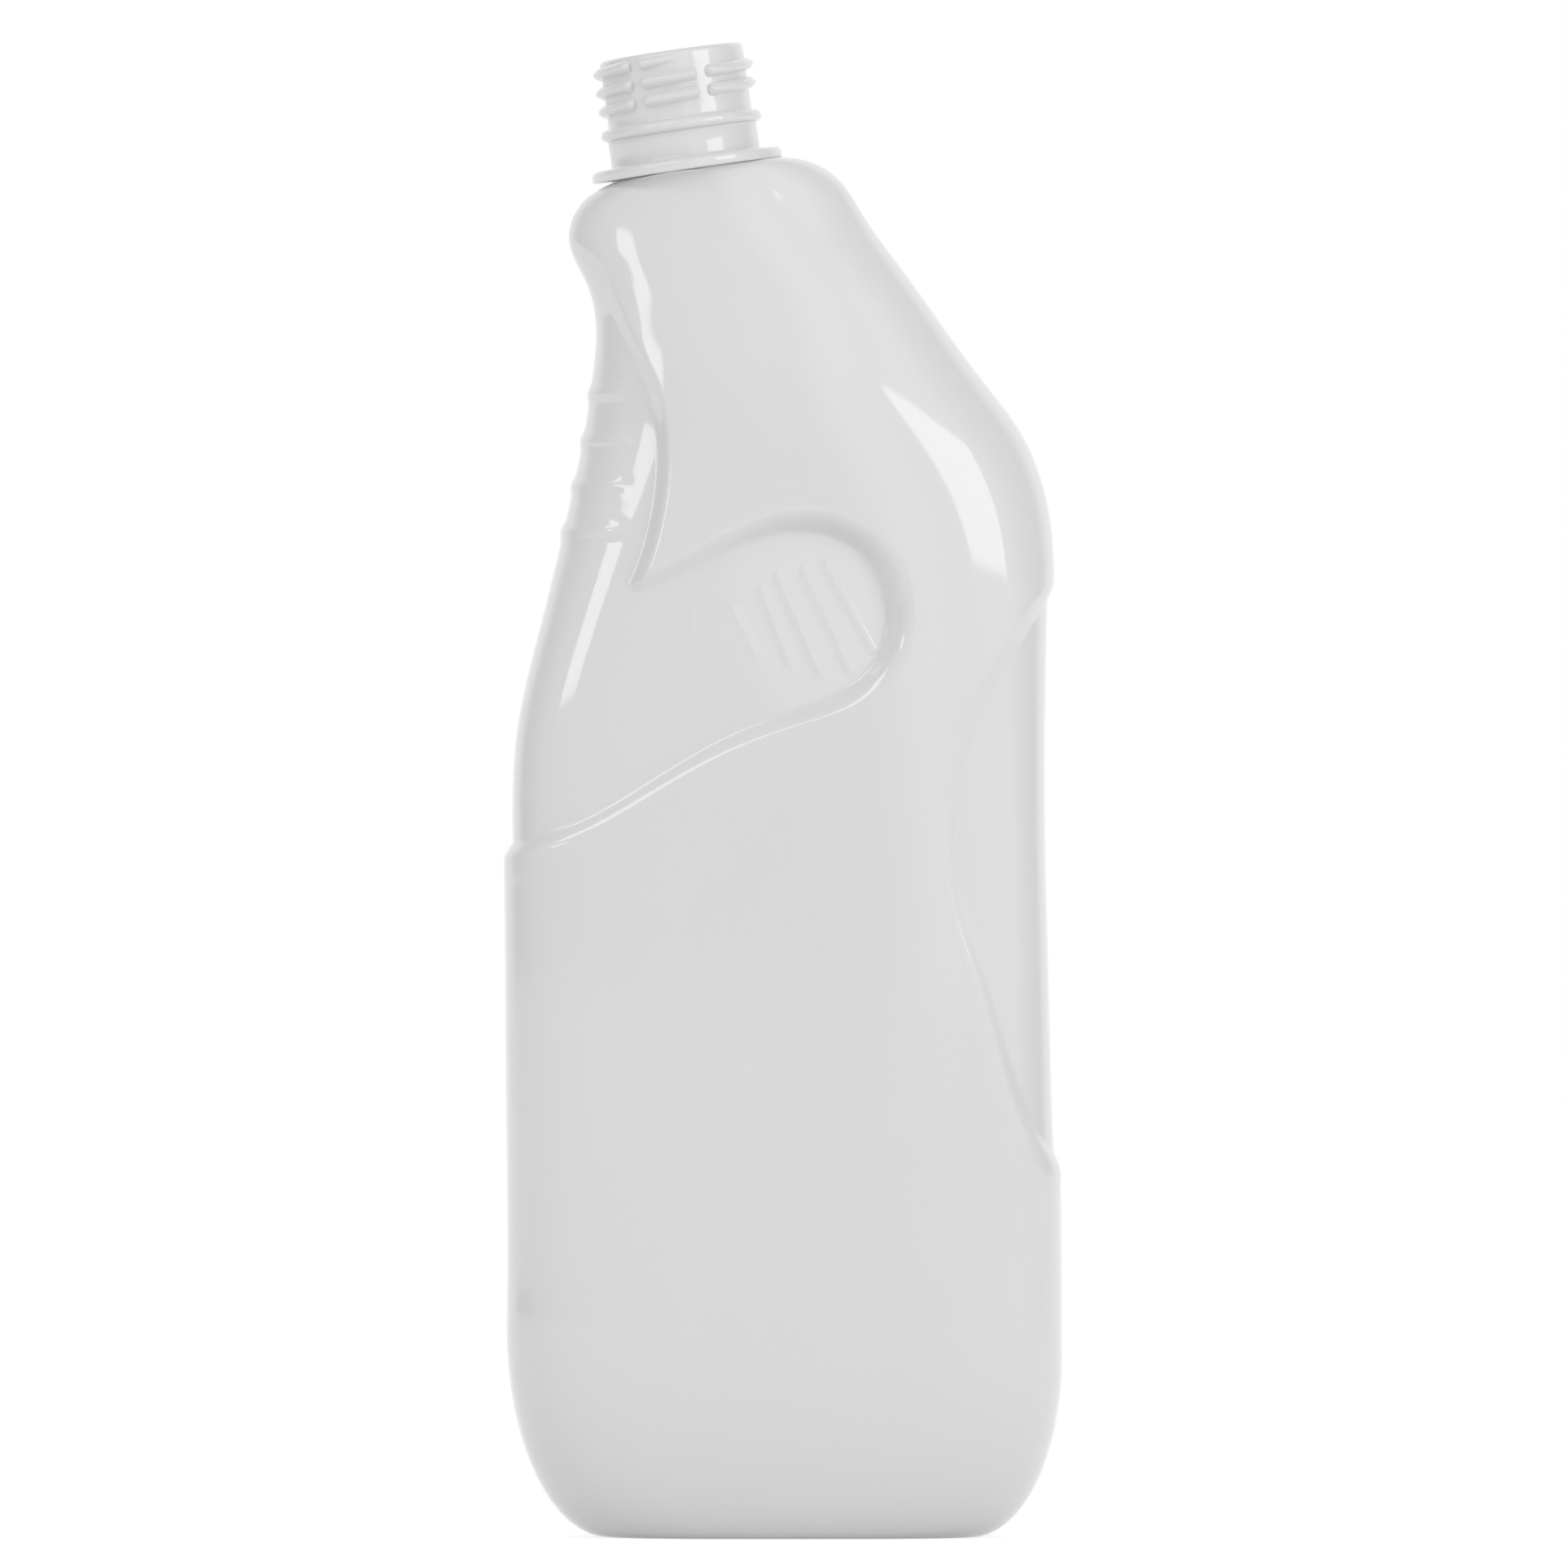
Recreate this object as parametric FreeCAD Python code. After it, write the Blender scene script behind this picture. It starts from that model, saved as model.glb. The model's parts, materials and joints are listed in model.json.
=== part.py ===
"""A blown trigger-spray bottle: one hollow moulding with a leaning neck finish.

Millimetres. +Z is up, and the bottle stands on z = 0. X runs across its broad face: the fingers hold the front, at
-X, and the palm lies on the back, at +X. Y runs through its depth, and the halves at +Y and -Y are alike. The origin
is on the floor, midway between the body's front and back lines.
"""
import FreeCAD, Part
import math
import os

from FreeCAD import Vector

# Body
BODY_WIDTH = 96.4
BODY_DEPTH = 50.0
WALL = 0.55
PANEL_HEIGHT = 118.0        # floor to the label panel's top edge, at the front line
HAND_HEIGHT = 118.2         # from there to the neck's zero level, which lies in its support ring

# Foot
FRONT_HEEL_HEIGHT = 36.0
BACK_HEEL_HEIGHT = 31.0
FRONT_HEEL_RUN = 17.5       # how far the heel tucks in below the body's line
BACK_HEEL_RUN = 15.5
SIDE_HEEL_RUN = 9.0
FOOT_SQUARENESS = 3.2
STANDING_RING = 3.0         # flat ring that the bottle stands on
PUSH_UP = 7.0               # how high the floor of the bottle is drawn up in the middle
GATE_RADIUS = 5.0           # flat round the gate, at the top of the push-up

# Hand zone
STEP_WIDTH = 2.6            # width of the slope that borders the hand zone
PANEL_STEP = 1.6            # how far the label panel stands proud of it
GRIP_STEP = 2.2             # how far the side faces stand proud of the finger grip
THUMB_DEPTH = 2.25          # how much deeper the thumb recess is at its deep end
THUMB_WALL = 0.9            # how much wider its wall is there
THUMB_FADE = 30.0           # length of the ramp that runs down into it
RAMP_START = 0.3            # share of that length over which the ramp steepens
STEP_SOFTNESS = 1.3         # how much wider than its straight part a slope is with its rounded edges
FINGER_RIDGES = 4
FINGER_PITCH = 7.85
FINGER_HEIGHT = 0.5
FINGER_WIDTH = 2.6
FINGER_TOP = 0.672          # height of the top ridge, as a share of the hand zone
FINGER_REACH = 16.5         # how far the ridges run back from the front line before they fade
FINGER_FADE = 5.5
RIB_WIDTH = 1.5
RIB_HEIGHT = 0.45

# Palm hollow at the back
PALM_STEP = 1.25            # height of the step round it
PALM_STEP_WIDTH = 2.2       # width of that step's slope
PALM_DISH = 0.05            # how much deeper the hollow gets for each millimetre in from its edge

# Neck finish, along and across its own axis
NECK_TILT = 8.2             # degrees towards the front
NECK_FORWARD = 16.5         # axis ahead of the body's middle, at the support ring
BORE_RADIUS = 10.85
NECK_RADIUS = 12.45
SHANK_RADIUS = 12.9         # between the bead and the support ring
ROOT_RADIUS = 13.1          # below the support ring
NECK_ROOT_DEPTH = 2.0       # how far the neck is carried down into the shoulder
LIP_HEIGHT = 20.1
LIP_ROUND = 0.95
SUPPORT_RADIUS = 16.5
SUPPORT_THICKNESS = 1.95
SUPPORT_DROP = 0.65         # how far the support ring reaches below the neck's zero level
SUPPORT_TOP_ROUND = 0.85
SUPPORT_LOW_ROUND = 0.3
SUPPORT_FLARE = 0.3         # how much lower its underside is at the root
SHANK_FILLET = 0.5
BEAD_RADIUS = 13.95
BEAD_HEIGHT = 6.2           # underside of the bead
BEAD_THICKNESS = 2.0
BEAD_ROUND = 0.85
BEAD_FILLET = 0.4
SHOULDER_GAP = 1.9          # from the neck's zero level down to the shoulder's crown
CROWN_DIP = 0.4             # how far the shoulder dips again towards the neck

# Thread
THREAD_RADIUS = 13.85
THREAD_PITCH = 3.25
THREAD_WIDTH = 2.0
THREAD_CREST = 0.8
THREAD_SINK = 0.3           # how deep its foot is set in the neck
THREAD_LOW = 10.8           # height of its first crest
THREAD_TURNS = 2.38
THREAD_START = 120.0        # degrees round the neck from the back
SLOT_TURNS = (-121.0, -68.0, 68.0, 121.0)  # places of the vent slots, in degrees round the neck from the back
SLOT_WIDTH = 1.9

# How finely the blown skin is drawn, and the patches that it is divided into
ROW_SPACINGS = [(40.0, 5.0), (60.0, 2.4), (95.0, 2.4), (PANEL_HEIGHT - 5, 1.2)]        # by height
COLUMN_SPACINGS = [(0.7 * BODY_WIDTH, 1.2), (0.8 * BODY_WIDTH, 1.8)]                    # by distance from the front
LOFT_STEPS = 400            # steps that the loft's length is measured in
SECTION_STEPS = 720         # and a half section's
BORDER_STEP = 2.0           # length of the straight steps that a border is made of
LOFT_NUDGE = 0.01           # shifts along and round the loft that give its slope
TURN_NUDGE = 0.002
LEVEL_TRIES = 12            # goes at finding the place on the loft at a given height
HEEL_ROWS = 12
FLOOR_ROWS = 8
FLOOR_COLUMNS = 24
PATCH_ROWS = 6
PATCH_COLUMNS = 4

FRONT = -BODY_WIDTH / 2
BACK = BODY_WIDTH / 2
HALF_DEPTH = BODY_DEPTH / 2
TILT = math.radians(NECK_TILT)
NECK_CENTRE = Vector(-NECK_FORWARD, 0, PANEL_HEIGHT + HAND_HEIGHT)
NECK_AXIS = Vector(-math.sin(TILT), 0, math.cos(TILT))
NECK_ACROSS = Vector(math.cos(TILT), 0, math.sin(TILT))
SKIN_END = (ROOT_RADIUS + BORE_RADIUS) / 2  # the blown skin runs in under the neck this far


def smooth(value):
    """0 below 0, 1 above 1, and an S curve between."""
    value = min(max(value, 0.0), 1.0)
    return value * value * (3 - 2 * value)


def stepped(table, value):
    """Smooth steps between the rows of a table."""
    for (a, low), (b, high) in zip(table, table[1:]):
        if value < b:
            return low + (high - low) * smooth((value - a) / (b - a))
    return table[-1][1]


def spread(weights, count):
    """Places, as fractions of the list's steps, that share its growing weights out evenly."""
    places = []
    j = 0
    for i in range(count + 1):
        goal = weights[-1] * i / count
        while j < len(weights) - 2 and weights[j + 1] < goal:
            j += 1
        places.append(j + (goal - weights[j]) / (weights[j + 1] - weights[j]))
    return places


def spline(points, stops):
    curve = Part.BSplineCurve()
    curve.interpolate(Points=points, Parameters=stops)
    return curve


def running_lengths(points):
    stops = [0.0]
    for a, b in zip(points, points[1:]):
        stops.append(stops[-1] + a.distanceToPoint(b))
    return stops


def hand_height(share):
    """A height in the hand zone: 0 at the panel's top front edge, 1 at the support ring."""
    return PANEL_HEIGHT + share * HAND_HEIGHT


def neck_point(across, along):
    """A point of the middle plane in the neck's own frame, whose zero is the middle of the support ring."""
    return NECK_CENTRE + NECK_ACROSS * across + NECK_AXIS * along


# The body's sections, from the heel to the neck's root. Each is a flat closed curve between a front and a back
# point: (front inset, front height, back inset, back height, side inset, squareness). A squareness of 2 is an
# ellipse, and more is squarer.
BODY_SECTIONS = [
    (0.5, FRONT_HEEL_HEIGHT, 0.0, BACK_HEEL_HEIGHT, 0.2, 4.2),
    (0.4, 0.64 * PANEL_HEIGHT, 0.3, 0.64 * PANEL_HEIGHT, 0.0, 4.2),
    (0.0, hand_height(0.0), 0.8, hand_height(0.0), 0.0, 4.2),
    (0.5, hand_height(0.186), 1.1, hand_height(0.186), 0.3, 3.9),
    (4.8, hand_height(0.355), 1.3, hand_height(0.355), 0.7, 3.4),
    (8.4, hand_height(0.482), 2.0, hand_height(0.482), 1.1, 2.9),
    (11.5, hand_height(0.605), 6.9, hand_height(0.609), 1.6, 2.4),
    (13.5, hand_height(0.694), 14.2, hand_height(0.694), 2.9, 2.35),
    (14.6, hand_height(0.749), 19.7, hand_height(0.757), 4.8, 2.5),
    (13.9, hand_height(0.825), 27.2, hand_height(0.846), 7.6, 2.45),
]
# The shoulder's sections, in the neck's own frame: (front reach, drop, back reach, drop, half depth, squareness).
# Drops are below the shoulder's crown.
SHOULDER_SECTIONS = [
    (22.0, 7.3, 28.8, 10.5, 15.0, 2.15),
    (19.0, 1.7, 25.2, 3.4, 14.2, 2.1),
    (15.8, 0.0, 20.5, 0.0, 13.9, 2.05),
    (SKIN_END, CROWN_DIP, SKIN_END, CROWN_DIP, SKIN_END, 2.0),
]


class Loft:
    """The body's form before its steps and hollows, as sections at a length up the bottle from the heel's top."""

    def __init__(self):
        fronts, backs, shapes = [], [], []
        for front_in, front_z, back_in, back_z, side_in, squareness in BODY_SECTIONS:
            fronts.append(Vector(FRONT + front_in, 0, front_z))
            backs.append(Vector(BACK - back_in, 0, back_z))
            shapes.append((HALF_DEPTH - side_in, squareness))
        for front_reach, front_drop, back_reach, back_drop, half_depth, squareness in SHOULDER_SECTIONS:
            fronts.append(neck_point(-front_reach, -SHOULDER_GAP - front_drop))
            backs.append(neck_point(back_reach, -SHOULDER_GAP - back_drop))
            shapes.append((half_depth, squareness))
        stops = [(a + b) / 2 for a, b in zip(running_lengths(fronts), running_lengths(backs))]
        self.length = stops[-1]
        self.front = spline(fronts, stops)
        self.back = spline(backs, stops)
        self.shape = spline([Vector(*shape, stop) for shape, stop in zip(shapes, stops)], stops)

    def at(self, curve, along):
        """A point of a curve, carried on past its end by turning the last stretch about the end."""
        if along <= self.length:
            return curve.value(along)
        return curve.value(self.length) * 2 - curve.value(2 * self.length - along)

    def section(self, along):
        """Front point, back point, half depth and squareness. Negative lengths are angles round the heel."""
        if along < 0:
            return self.heel(-along)
        shape = self.at(self.shape, along)
        return self.at(self.front, along), self.at(self.back, along), shape.x, shape.y

    def heel(self, turned):
        """The heel is a quarter of an ellipse: 0 at its top and a quarter turn at the floor."""
        front_in, front_z, back_in, back_z, side_in, squareness = BODY_SECTIONS[0]
        tuck = 1 - math.cos(turned)
        rise = 1 - math.sin(turned)
        front = Vector(FRONT + front_in + FRONT_HEEL_RUN * tuck, 0, front_z * rise)
        back = Vector(BACK - back_in - BACK_HEEL_RUN * tuck, 0, back_z * rise)
        half_depth = HALF_DEPTH - side_in - SIDE_HEEL_RUN * tuck
        return front, back, half_depth, squareness + (FOOT_SQUARENESS - squareness) * tuck


def on_section(section, turn):
    """A point of the section: turn is 0 at the front and pi at the back."""
    front, back, half_depth, squareness = section
    c, s = math.cos(turn), math.sin(turn)
    reach = (abs(c) ** squareness + abs(s) ** squareness) ** (-1 / squareness)
    return (front + back) * 0.5 + (front - back) * (0.5 * c * reach) + Vector(0, half_depth * s * reach, 0)


# Borders of the hand zone on the side faces: (distance from the front line, share of the hand zone's height). The
# first runs back along the label panel's top edge, round the thumb recess and forward over it, and the second goes
# up between the side face and the finger grip.
PANEL_BORDER = [(-12, 0.012), (1.8, 0.0195), (13.0, 0.049), (25.2, 0.107), (40.3, 0.177), (53.4, 0.2180),
                (61.9, 0.258), (66.2, 0.335), (62.6, 0.431), (51.2, 0.467), (38.0, 0.434), (23.1, 0.3765)]
GRIP_BORDER = [(21.2, 0.391), (23.1, 0.432), (25.6, 0.53), (24.5, 0.657), (20.7, 0.734), (14.5, 0.835),
               (2.0, 0.93), (-12, 0.95)]
# How far the finger grip and what lies below it are sunk, by share of the hand zone's height
SINKING = [(0.0, PANEL_STEP), (0.35, GRIP_STEP), (0.60, GRIP_STEP), (0.94, 0.0), (1.0, 0.0)]
# Border of the palm hollow: (distance behind the back line, share of the hand zone's height), from its top down
PALM_BORDER = [(25.0, 0.522), (9.0, 0.425), (-1.7, 0.360), (-7.7, 0.290), (-13.1, 0.2217), (-16.4, 0.1413),
               (-18.0, 0.034), (-17.4, -0.054), (-12.7, -0.181), (-7.5, -0.3266), (-3.7, -0.3993), (-1.3, -0.4255),
               (9.0, -0.470), (25.0, -0.539)]
# Soft front edge of the thumb recess, and the direction in which it deepens
THUMB_EDGE = (31.2, 0.381)
THUMB_AIM = math.radians(25.9)
THUMB_TOP = 0.48
# The thumb recess's ribs, each from its top to its bottom end
RIBS = [((39.7, 0.352), (43.5, 0.287)), ((44.6, 0.379), (49.5, 0.274)), ((47.5, 0.400), (54.7, 0.258)),
        ((51.9, 0.409), (59.9, 0.264)), ((55.8, 0.418), (63.7, 0.296))]


def border(shape, line):
    """Short straight steps along a smooth border, which is given by its distances behind an upright line."""
    points = [Vector(line + x, 0, hand_height(share)) for x, share in shape]
    stops = running_lengths(points)
    curve = spline(points, stops)
    count = math.ceil(stops[-1] / BORDER_STEP)
    places = [curve.value(stops[-1] * i / count) for i in range(count + 1)]
    return [(place.x, place.z) for place in places]


def hand_zone():
    return border(PANEL_BORDER, FRONT) + border(GRIP_BORDER, FRONT)


def palm_zone():
    return border(PALM_BORDER, BACK)


def distance_outside(zone, x, z):
    """Distance from the zone, which is negative inside it."""
    nearest = math.inf
    inside = False
    for (ax, az), (bx, bz) in zip(zone, zone[1:] + zone[:1]):
        dx, dz = bx - ax, bz - az
        along = min(max(((x - ax) * dx + (z - az) * dz) / (dx * dx + dz * dz), 0.0), 1.0)
        nearest = min(nearest, (x - ax - along * dx) ** 2 + (z - az - along * dz) ** 2)
        if (az > z) != (bz > z) and x < ax + (z - az) * dx / dz:
            inside = not inside
    distance = math.sqrt(nearest)
    return -distance if inside else distance


def ramp(value):
    """0 below 0 and 1 above 1, with an even slope between that starts softly."""
    value = min(max(value, 0.0), 1.0)
    bend = max(RAMP_START - value, 0.0)
    return (value - RAMP_START / 2 + bend * bend / (2 * RAMP_START)) / (1 - RAMP_START / 2)


def thumb_share(x, z):
    """0 in front of the thumb recess, rising to 1 at its deep end."""
    back = x - FRONT - THUMB_EDGE[0]
    up = min(z, hand_height(THUMB_TOP)) - hand_height(THUMB_EDGE[1])
    return ramp((back * math.cos(THUMB_AIM) + up * math.sin(THUMB_AIM)) / THUMB_FADE)


def finger_ridges(x, z):
    """Low ridges across the front, which fade out on the side faces."""
    height = 0.0
    for i in range(FINGER_RIDGES):
        off = (z - hand_height(FINGER_TOP) + i * FINGER_PITCH) / (FINGER_WIDTH / 2)
        height += math.exp(-off * off)
    return FINGER_HEIGHT * height * (1 - smooth((x - FRONT - FINGER_REACH) / FINGER_FADE))


def sloping(distance, width):
    """How much of a step is gone down: 1 inside its border, falling to 0 at a slope's width outside it."""
    return smooth(0.5 + (width / 2 - distance) / (width * STEP_SOFTNESS))


def hollow(hand, palm, x, z):
    """How far the skin lies inside the plain loft at this place of the broad face."""
    share = (z - PANEL_HEIGHT) / HAND_HEIGHT
    depth = 0.0
    if -0.1 < share < 1.0:
        thumb = thumb_share(x, z)
        sunk = stepped(SINKING, share) + THUMB_DEPTH * thumb - finger_ridges(x, z)
        depth += sunk * sloping(distance_outside(hand, x, z), STEP_WIDTH + THUMB_WALL * thumb)
    if x > 0:
        distance = distance_outside(palm, x, z)
        depth += PALM_STEP * sloping(distance, PALM_STEP_WIDTH) + PALM_DISH * max(-distance, 0.0)
    return depth


def column_turns():
    """Turns round the section for the skin's columns, from the front to the back."""
    section = (Vector(FRONT, 0, 0), Vector(BACK, 0, 0), HALF_DEPTH, BODY_SECTIONS[3][5])
    points = [on_section(section, math.pi * i / SECTION_STEPS) for i in range(SECTION_STEPS + 1)]
    weights = [0.0]
    for a, b in zip(points, points[1:]):
        weights.append(weights[-1] + a.distanceToPoint(b) / stepped(COLUMN_SPACINGS, a.x - FRONT))
    return [math.pi * place / SECTION_STEPS for place in spread(weights, round(weights[-1]))]


def row_lengths(loft):
    """Places of the skin's rows: round the heel by angle, then up the loft, closer together in the hand zone."""
    step = loft.length / LOFT_STEPS
    weights = [0.0]
    for i in range(LOFT_STEPS):
        height = loft.section(step * i)[0].z
        weights.append(weights[-1] + step / stepped(ROW_SPACINGS, height))
    heel = [-math.pi / 2 * (1 - i / HEEL_ROWS) for i in range(HEEL_ROWS)]
    return heel + [step * place for place in spread(weights, round(weights[-1]))]


def guided(places):
    """Places with two more past each end."""
    first, last = places[0], places[-1]
    return [first * 2 - places[2], first * 2 - places[1]] + places + [last * 2 - places[-2], last * 2 - places[-3]]


def skin_frames(loft, hand, palm, rows, turns):
    """For each point of the loft's grid: the point on the finished skin and the way out of it."""
    grid = []
    for along in guided(rows):
        section = loft.section(along)
        above = loft.section(along + LOFT_NUDGE)
        below = loft.section(along - LOFT_NUDGE)
        line = []
        for turn in turns:
            point = on_section(section, turn)
            sideways = on_section(section, turn + TURN_NUDGE) - on_section(section, turn - TURN_NUDGE)
            outward = (on_section(above, turn) - on_section(below, turn)).cross(sideways)
            outward.normalize()
            line.append((point - outward * hollow(hand, palm, point.x, point.z), outward))
        grid.append(line)
    return grid


def skin_grid(frames, inset):
    """The skin moved in by inset, with its last row laid flat across the neck."""
    grid = [[point - outward * inset for point, outward in line] for line in frames]
    level = -SHOULDER_GAP - CROWN_DIP - inset
    grid[-3] = [p - NECK_AXIS * ((p - NECK_CENTRE).dot(NECK_AXIS) - level) for p in grid[-3]]
    return grid


def floor_grid(loft, inset):
    """The push-up: the foot's outline drawn in and up towards the gate."""
    foot = loft.section(-math.pi / 2)
    middle = (foot[0] + foot[1]) * 0.5
    half = middle.x - foot[0].x
    outer = 1 - STANDING_RING / half
    gate = GATE_RADIUS / half
    shares = [i / FLOOR_ROWS for i in range(FLOOR_ROWS + 1)]
    turns = [math.pi * i / FLOOR_COLUMNS for i in range(FLOOR_COLUMNS + 1)]
    grid = []
    for share in guided(shares):
        size = outer + (gate - outer) * share
        height = PUSH_UP * (1 - math.cos(math.pi * share)) / 2 + inset
        grid.append([middle + (on_section(foot, turn) - middle) * size + Vector(0, 0, height) for turn in turns])
    return grid


def corrected(values):
    """Control values whose cubic spline passes through the given ones, less one at each end."""
    return [b - (a - b * 2 + c) * (1 / 6) for a, b, c in zip(values, values[1:], values[2:])]


def clamped(values, first, last):
    """Control values of an endless uniform cubic spline, made those of one that ends in first and last."""
    start = (values[1] * 2 + values[2]) * (1 / 3)
    end = (values[-2] * 2 + values[-3]) * (1 / 3)
    return [first, start] + values[2:-2] + [end, last]


def mirrored(point):
    return Vector(point.x, -point.y, point.z)


def skin_poles(grid):
    """Control points of the half skin at +Y. Each row is mirrored past its ends, so that the halves meet smoothly."""
    lines = []
    for line in grid:
        whole = corrected([mirrored(line[2]), mirrored(line[1])] + line + [mirrored(line[-2]), mirrored(line[-3])])
        first = (whole[0] + whole[1] * 4 + whole[2]) * (1 / 6)
        last = (whole[-3] + whole[-2] * 4 + whole[-1]) * (1 / 6)
        lines.append(clamped(whole, first, last))
    columns = [clamped(corrected(list(column)), column[2], column[-3]) for column in zip(*lines)]
    return [list(line) for line in zip(*columns)]


def cuts(steps, parts):
    return [round(steps * i / parts) for i in range(parts + 1)]


def patches(poles, row_parts, column_parts):
    """Faces of a smooth surface with these control points, divided along its rows and columns."""
    row_steps, column_steps = len(poles) - 3, len(poles[0]) - 3
    surface = Part.BSplineSurface()
    row_ends = [4] + [1] * (row_steps - 1) + [4]
    column_ends = [4] + [1] * (column_steps - 1) + [4]
    surface.buildFromPolesMultsKnots(poles, row_ends, column_ends, list(range(row_steps + 1)),
                                     list(range(column_steps + 1)), False, False, 3, 3)
    faces = []
    row_cuts = cuts(row_steps, row_parts)
    column_cuts = cuts(column_steps, column_parts)
    for low, high in zip(row_cuts, row_cuts[1:]):
        for left, right in zip(column_cuts, column_cuts[1:]):
            patch = surface.copy()
            patch.segment(low, high, left, right)
            faces.append(patch.toShape())
    return faces


def both_halves(grid, row_parts, column_parts):
    poles = skin_poles(grid)
    other = [[mirrored(p) for p in line] for line in poles]
    return patches(poles, row_parts, column_parts) + patches(other, row_parts, column_parts)


def ring_of(faces, base, axis, height):
    """The closed wire of the faces' edges that lie in the plane at this height along the axis."""
    def in_plane(edge):
        start, end = edge.ParameterRange
        places = [edge.valueAt(start + (end - start) * share) for share in (0.0, 0.4, 1.0)]
        return all(abs((place - base).dot(axis) - height) < 1e-4 for place in places)

    edges = [edge for face in faces for edge in face.Edges if in_plane(edge)]
    return Part.Wire(Part.__sortEdges__(edges))


def blown_solid(loft, frames, inset):
    """What the skin encloses, moved in by inset."""
    up = Vector(0, 0, 1)
    side = both_halves(skin_grid(frames, inset), PATCH_ROWS, PATCH_COLUMNS)
    floor = both_halves(floor_grid(loft, inset), 1, 2)
    outer_ring = ring_of(side, Vector(), up, inset)
    inner_ring = ring_of(floor, Vector(), up, inset)
    standing = Part.makeFace([outer_ring, inner_ring], "Part::FaceMakerBullseye")
    gate = Part.Face(ring_of(floor, Vector(), up, inset + PUSH_UP))
    top = Part.Face(ring_of(side, NECK_CENTRE, NECK_AXIS, -SHOULDER_GAP - CROWN_DIP - inset))
    solid = Part.Solid(Part.Shell(side + floor + [standing, gate, top]))
    if solid.Volume < 0:
        solid.reverse()
    return solid


def rounded_wire(corners):
    """A closed wire in the XZ plane, through corners (across, along, radius of the rounding). The first is sharp."""
    places = [Vector(across, 0, along) for across, along, radius in corners]
    edges = []
    last = places[0]
    for before, place, after, corner in zip(places, places[1:], places[2:] + places[:1], corners[1:]):
        back, onward = (before - place).normalize(), (after - place).normalize()
        half = back.getAngle(onward) / 2
        radius = corner[2]
        start = place + back * (radius / math.tan(half))
        edges.append(Part.makeLine(last, start))
        last = place + onward * (radius / math.tan(half))
        if radius > 0:
            middle = place + (back + onward).normalize() * (radius / math.sin(half) - radius)
            edges.append(Part.Arc(start, middle, last).toShape())
    edges.append(Part.makeLine(last, places[0]))
    return Part.Wire(edges)


def neck_profile():
    """The neck finish's outer profile, closed along the axis."""
    foot = -SHOULDER_GAP - CROWN_DIP - NECK_ROOT_DEPTH
    support_top = SUPPORT_THICKNESS - SUPPORT_DROP
    bead_top = BEAD_HEIGHT + BEAD_THICKNESS
    return rounded_wire([
        (0, foot, 0), (ROOT_RADIUS, foot, 0), (ROOT_RADIUS, -SUPPORT_DROP - SUPPORT_FLARE, 0),
        (SUPPORT_RADIUS, -SUPPORT_DROP, SUPPORT_LOW_ROUND), (SUPPORT_RADIUS, support_top, SUPPORT_TOP_ROUND),
        (SHANK_RADIUS, support_top, SHANK_FILLET), (SHANK_RADIUS, BEAD_HEIGHT, 0),
        (BEAD_RADIUS, BEAD_HEIGHT, BEAD_ROUND), (BEAD_RADIUS, bead_top, BEAD_ROUND),
        (NECK_RADIUS, bead_top, BEAD_FILLET), (NECK_RADIUS, LIP_HEIGHT, LIP_ROUND), (0, LIP_HEIGHT, 0),
    ])


def thread():
    """One right-hand thread of flat-topped ridges, crossed by upright vent slots."""
    root = NECK_RADIUS - THREAD_SINK
    height = THREAD_PITCH * THREAD_TURNS
    path = Part.makeHelix(THREAD_PITCH, height, root)
    corners = [(root, -THREAD_WIDTH / 2), (THREAD_RADIUS, -THREAD_CREST / 2), (THREAD_RADIUS, THREAD_CREST / 2),
               (root, THREAD_WIDTH / 2)]
    points = [Vector(r, 0, z) for r, z in corners]
    profile = Part.makePolygon(points + points[:1])
    ridge = Part.Wire(path).makePipeShell([profile], True, True)
    ridge.rotate(Vector(), Vector(0, 0, 1), THREAD_START)
    ridge.translate(Vector(0, 0, THREAD_LOW))
    slots = []
    for turn in SLOT_TURNS:
        slot = Part.makeBox(THREAD_RADIUS, SLOT_WIDTH, height + 2 * THREAD_PITCH)
        slot.translate(Vector(0, -SLOT_WIDTH / 2, THREAD_LOW - THREAD_PITCH))
        slot.translate(Vector(NECK_RADIUS / 2, 0, 0))
        slot.rotate(Vector(), Vector(0, 0, 1), turn)
        slots.append(slot)
    return ridge.cut(slots)


def leaned(shape):
    """Moves a shape from the neck's own frame to its place on the bottle."""
    shape.rotate(Vector(), Vector(0, 1, 0), -NECK_TILT)
    shape.translate(NECK_CENTRE)
    return shape


def neck_finish():
    """The neck as a plug and the pieces of its thread, still to be joined."""
    plug = Part.Face(neck_profile()).revolve(Vector(), Vector(0, 0, 1), 360)
    return [leaned(plug)] + [leaned(ridge) for ridge in thread().Solids]


def bore():
    """The inside of the neck, open at the lip and carried down into the bottle."""
    bottom = -SHOULDER_GAP - CROWN_DIP - 2 * NECK_ROOT_DEPTH
    hole = Part.makeCylinder(BORE_RADIUS, LIP_HEIGHT - bottom)
    hole.translate(Vector(0, 0, bottom))
    return leaned(hole)


def side_level(loft, hand, palm, x, z):
    """Half the bottle's depth at this place of its broad face."""
    along = z - FRONT_HEEL_HEIGHT
    for _ in range(LEVEL_TRIES):
        front, back, half_depth, squareness = loft.section(along)
        share = (x - front.x) / (back.x - front.x)
        along += z - front.z - (back.z - front.z) * share
    out = (1 - abs(1 - 2 * share) ** squareness) ** (1 / squareness)
    return half_depth * out - hollow(hand, palm, x, z)


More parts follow.
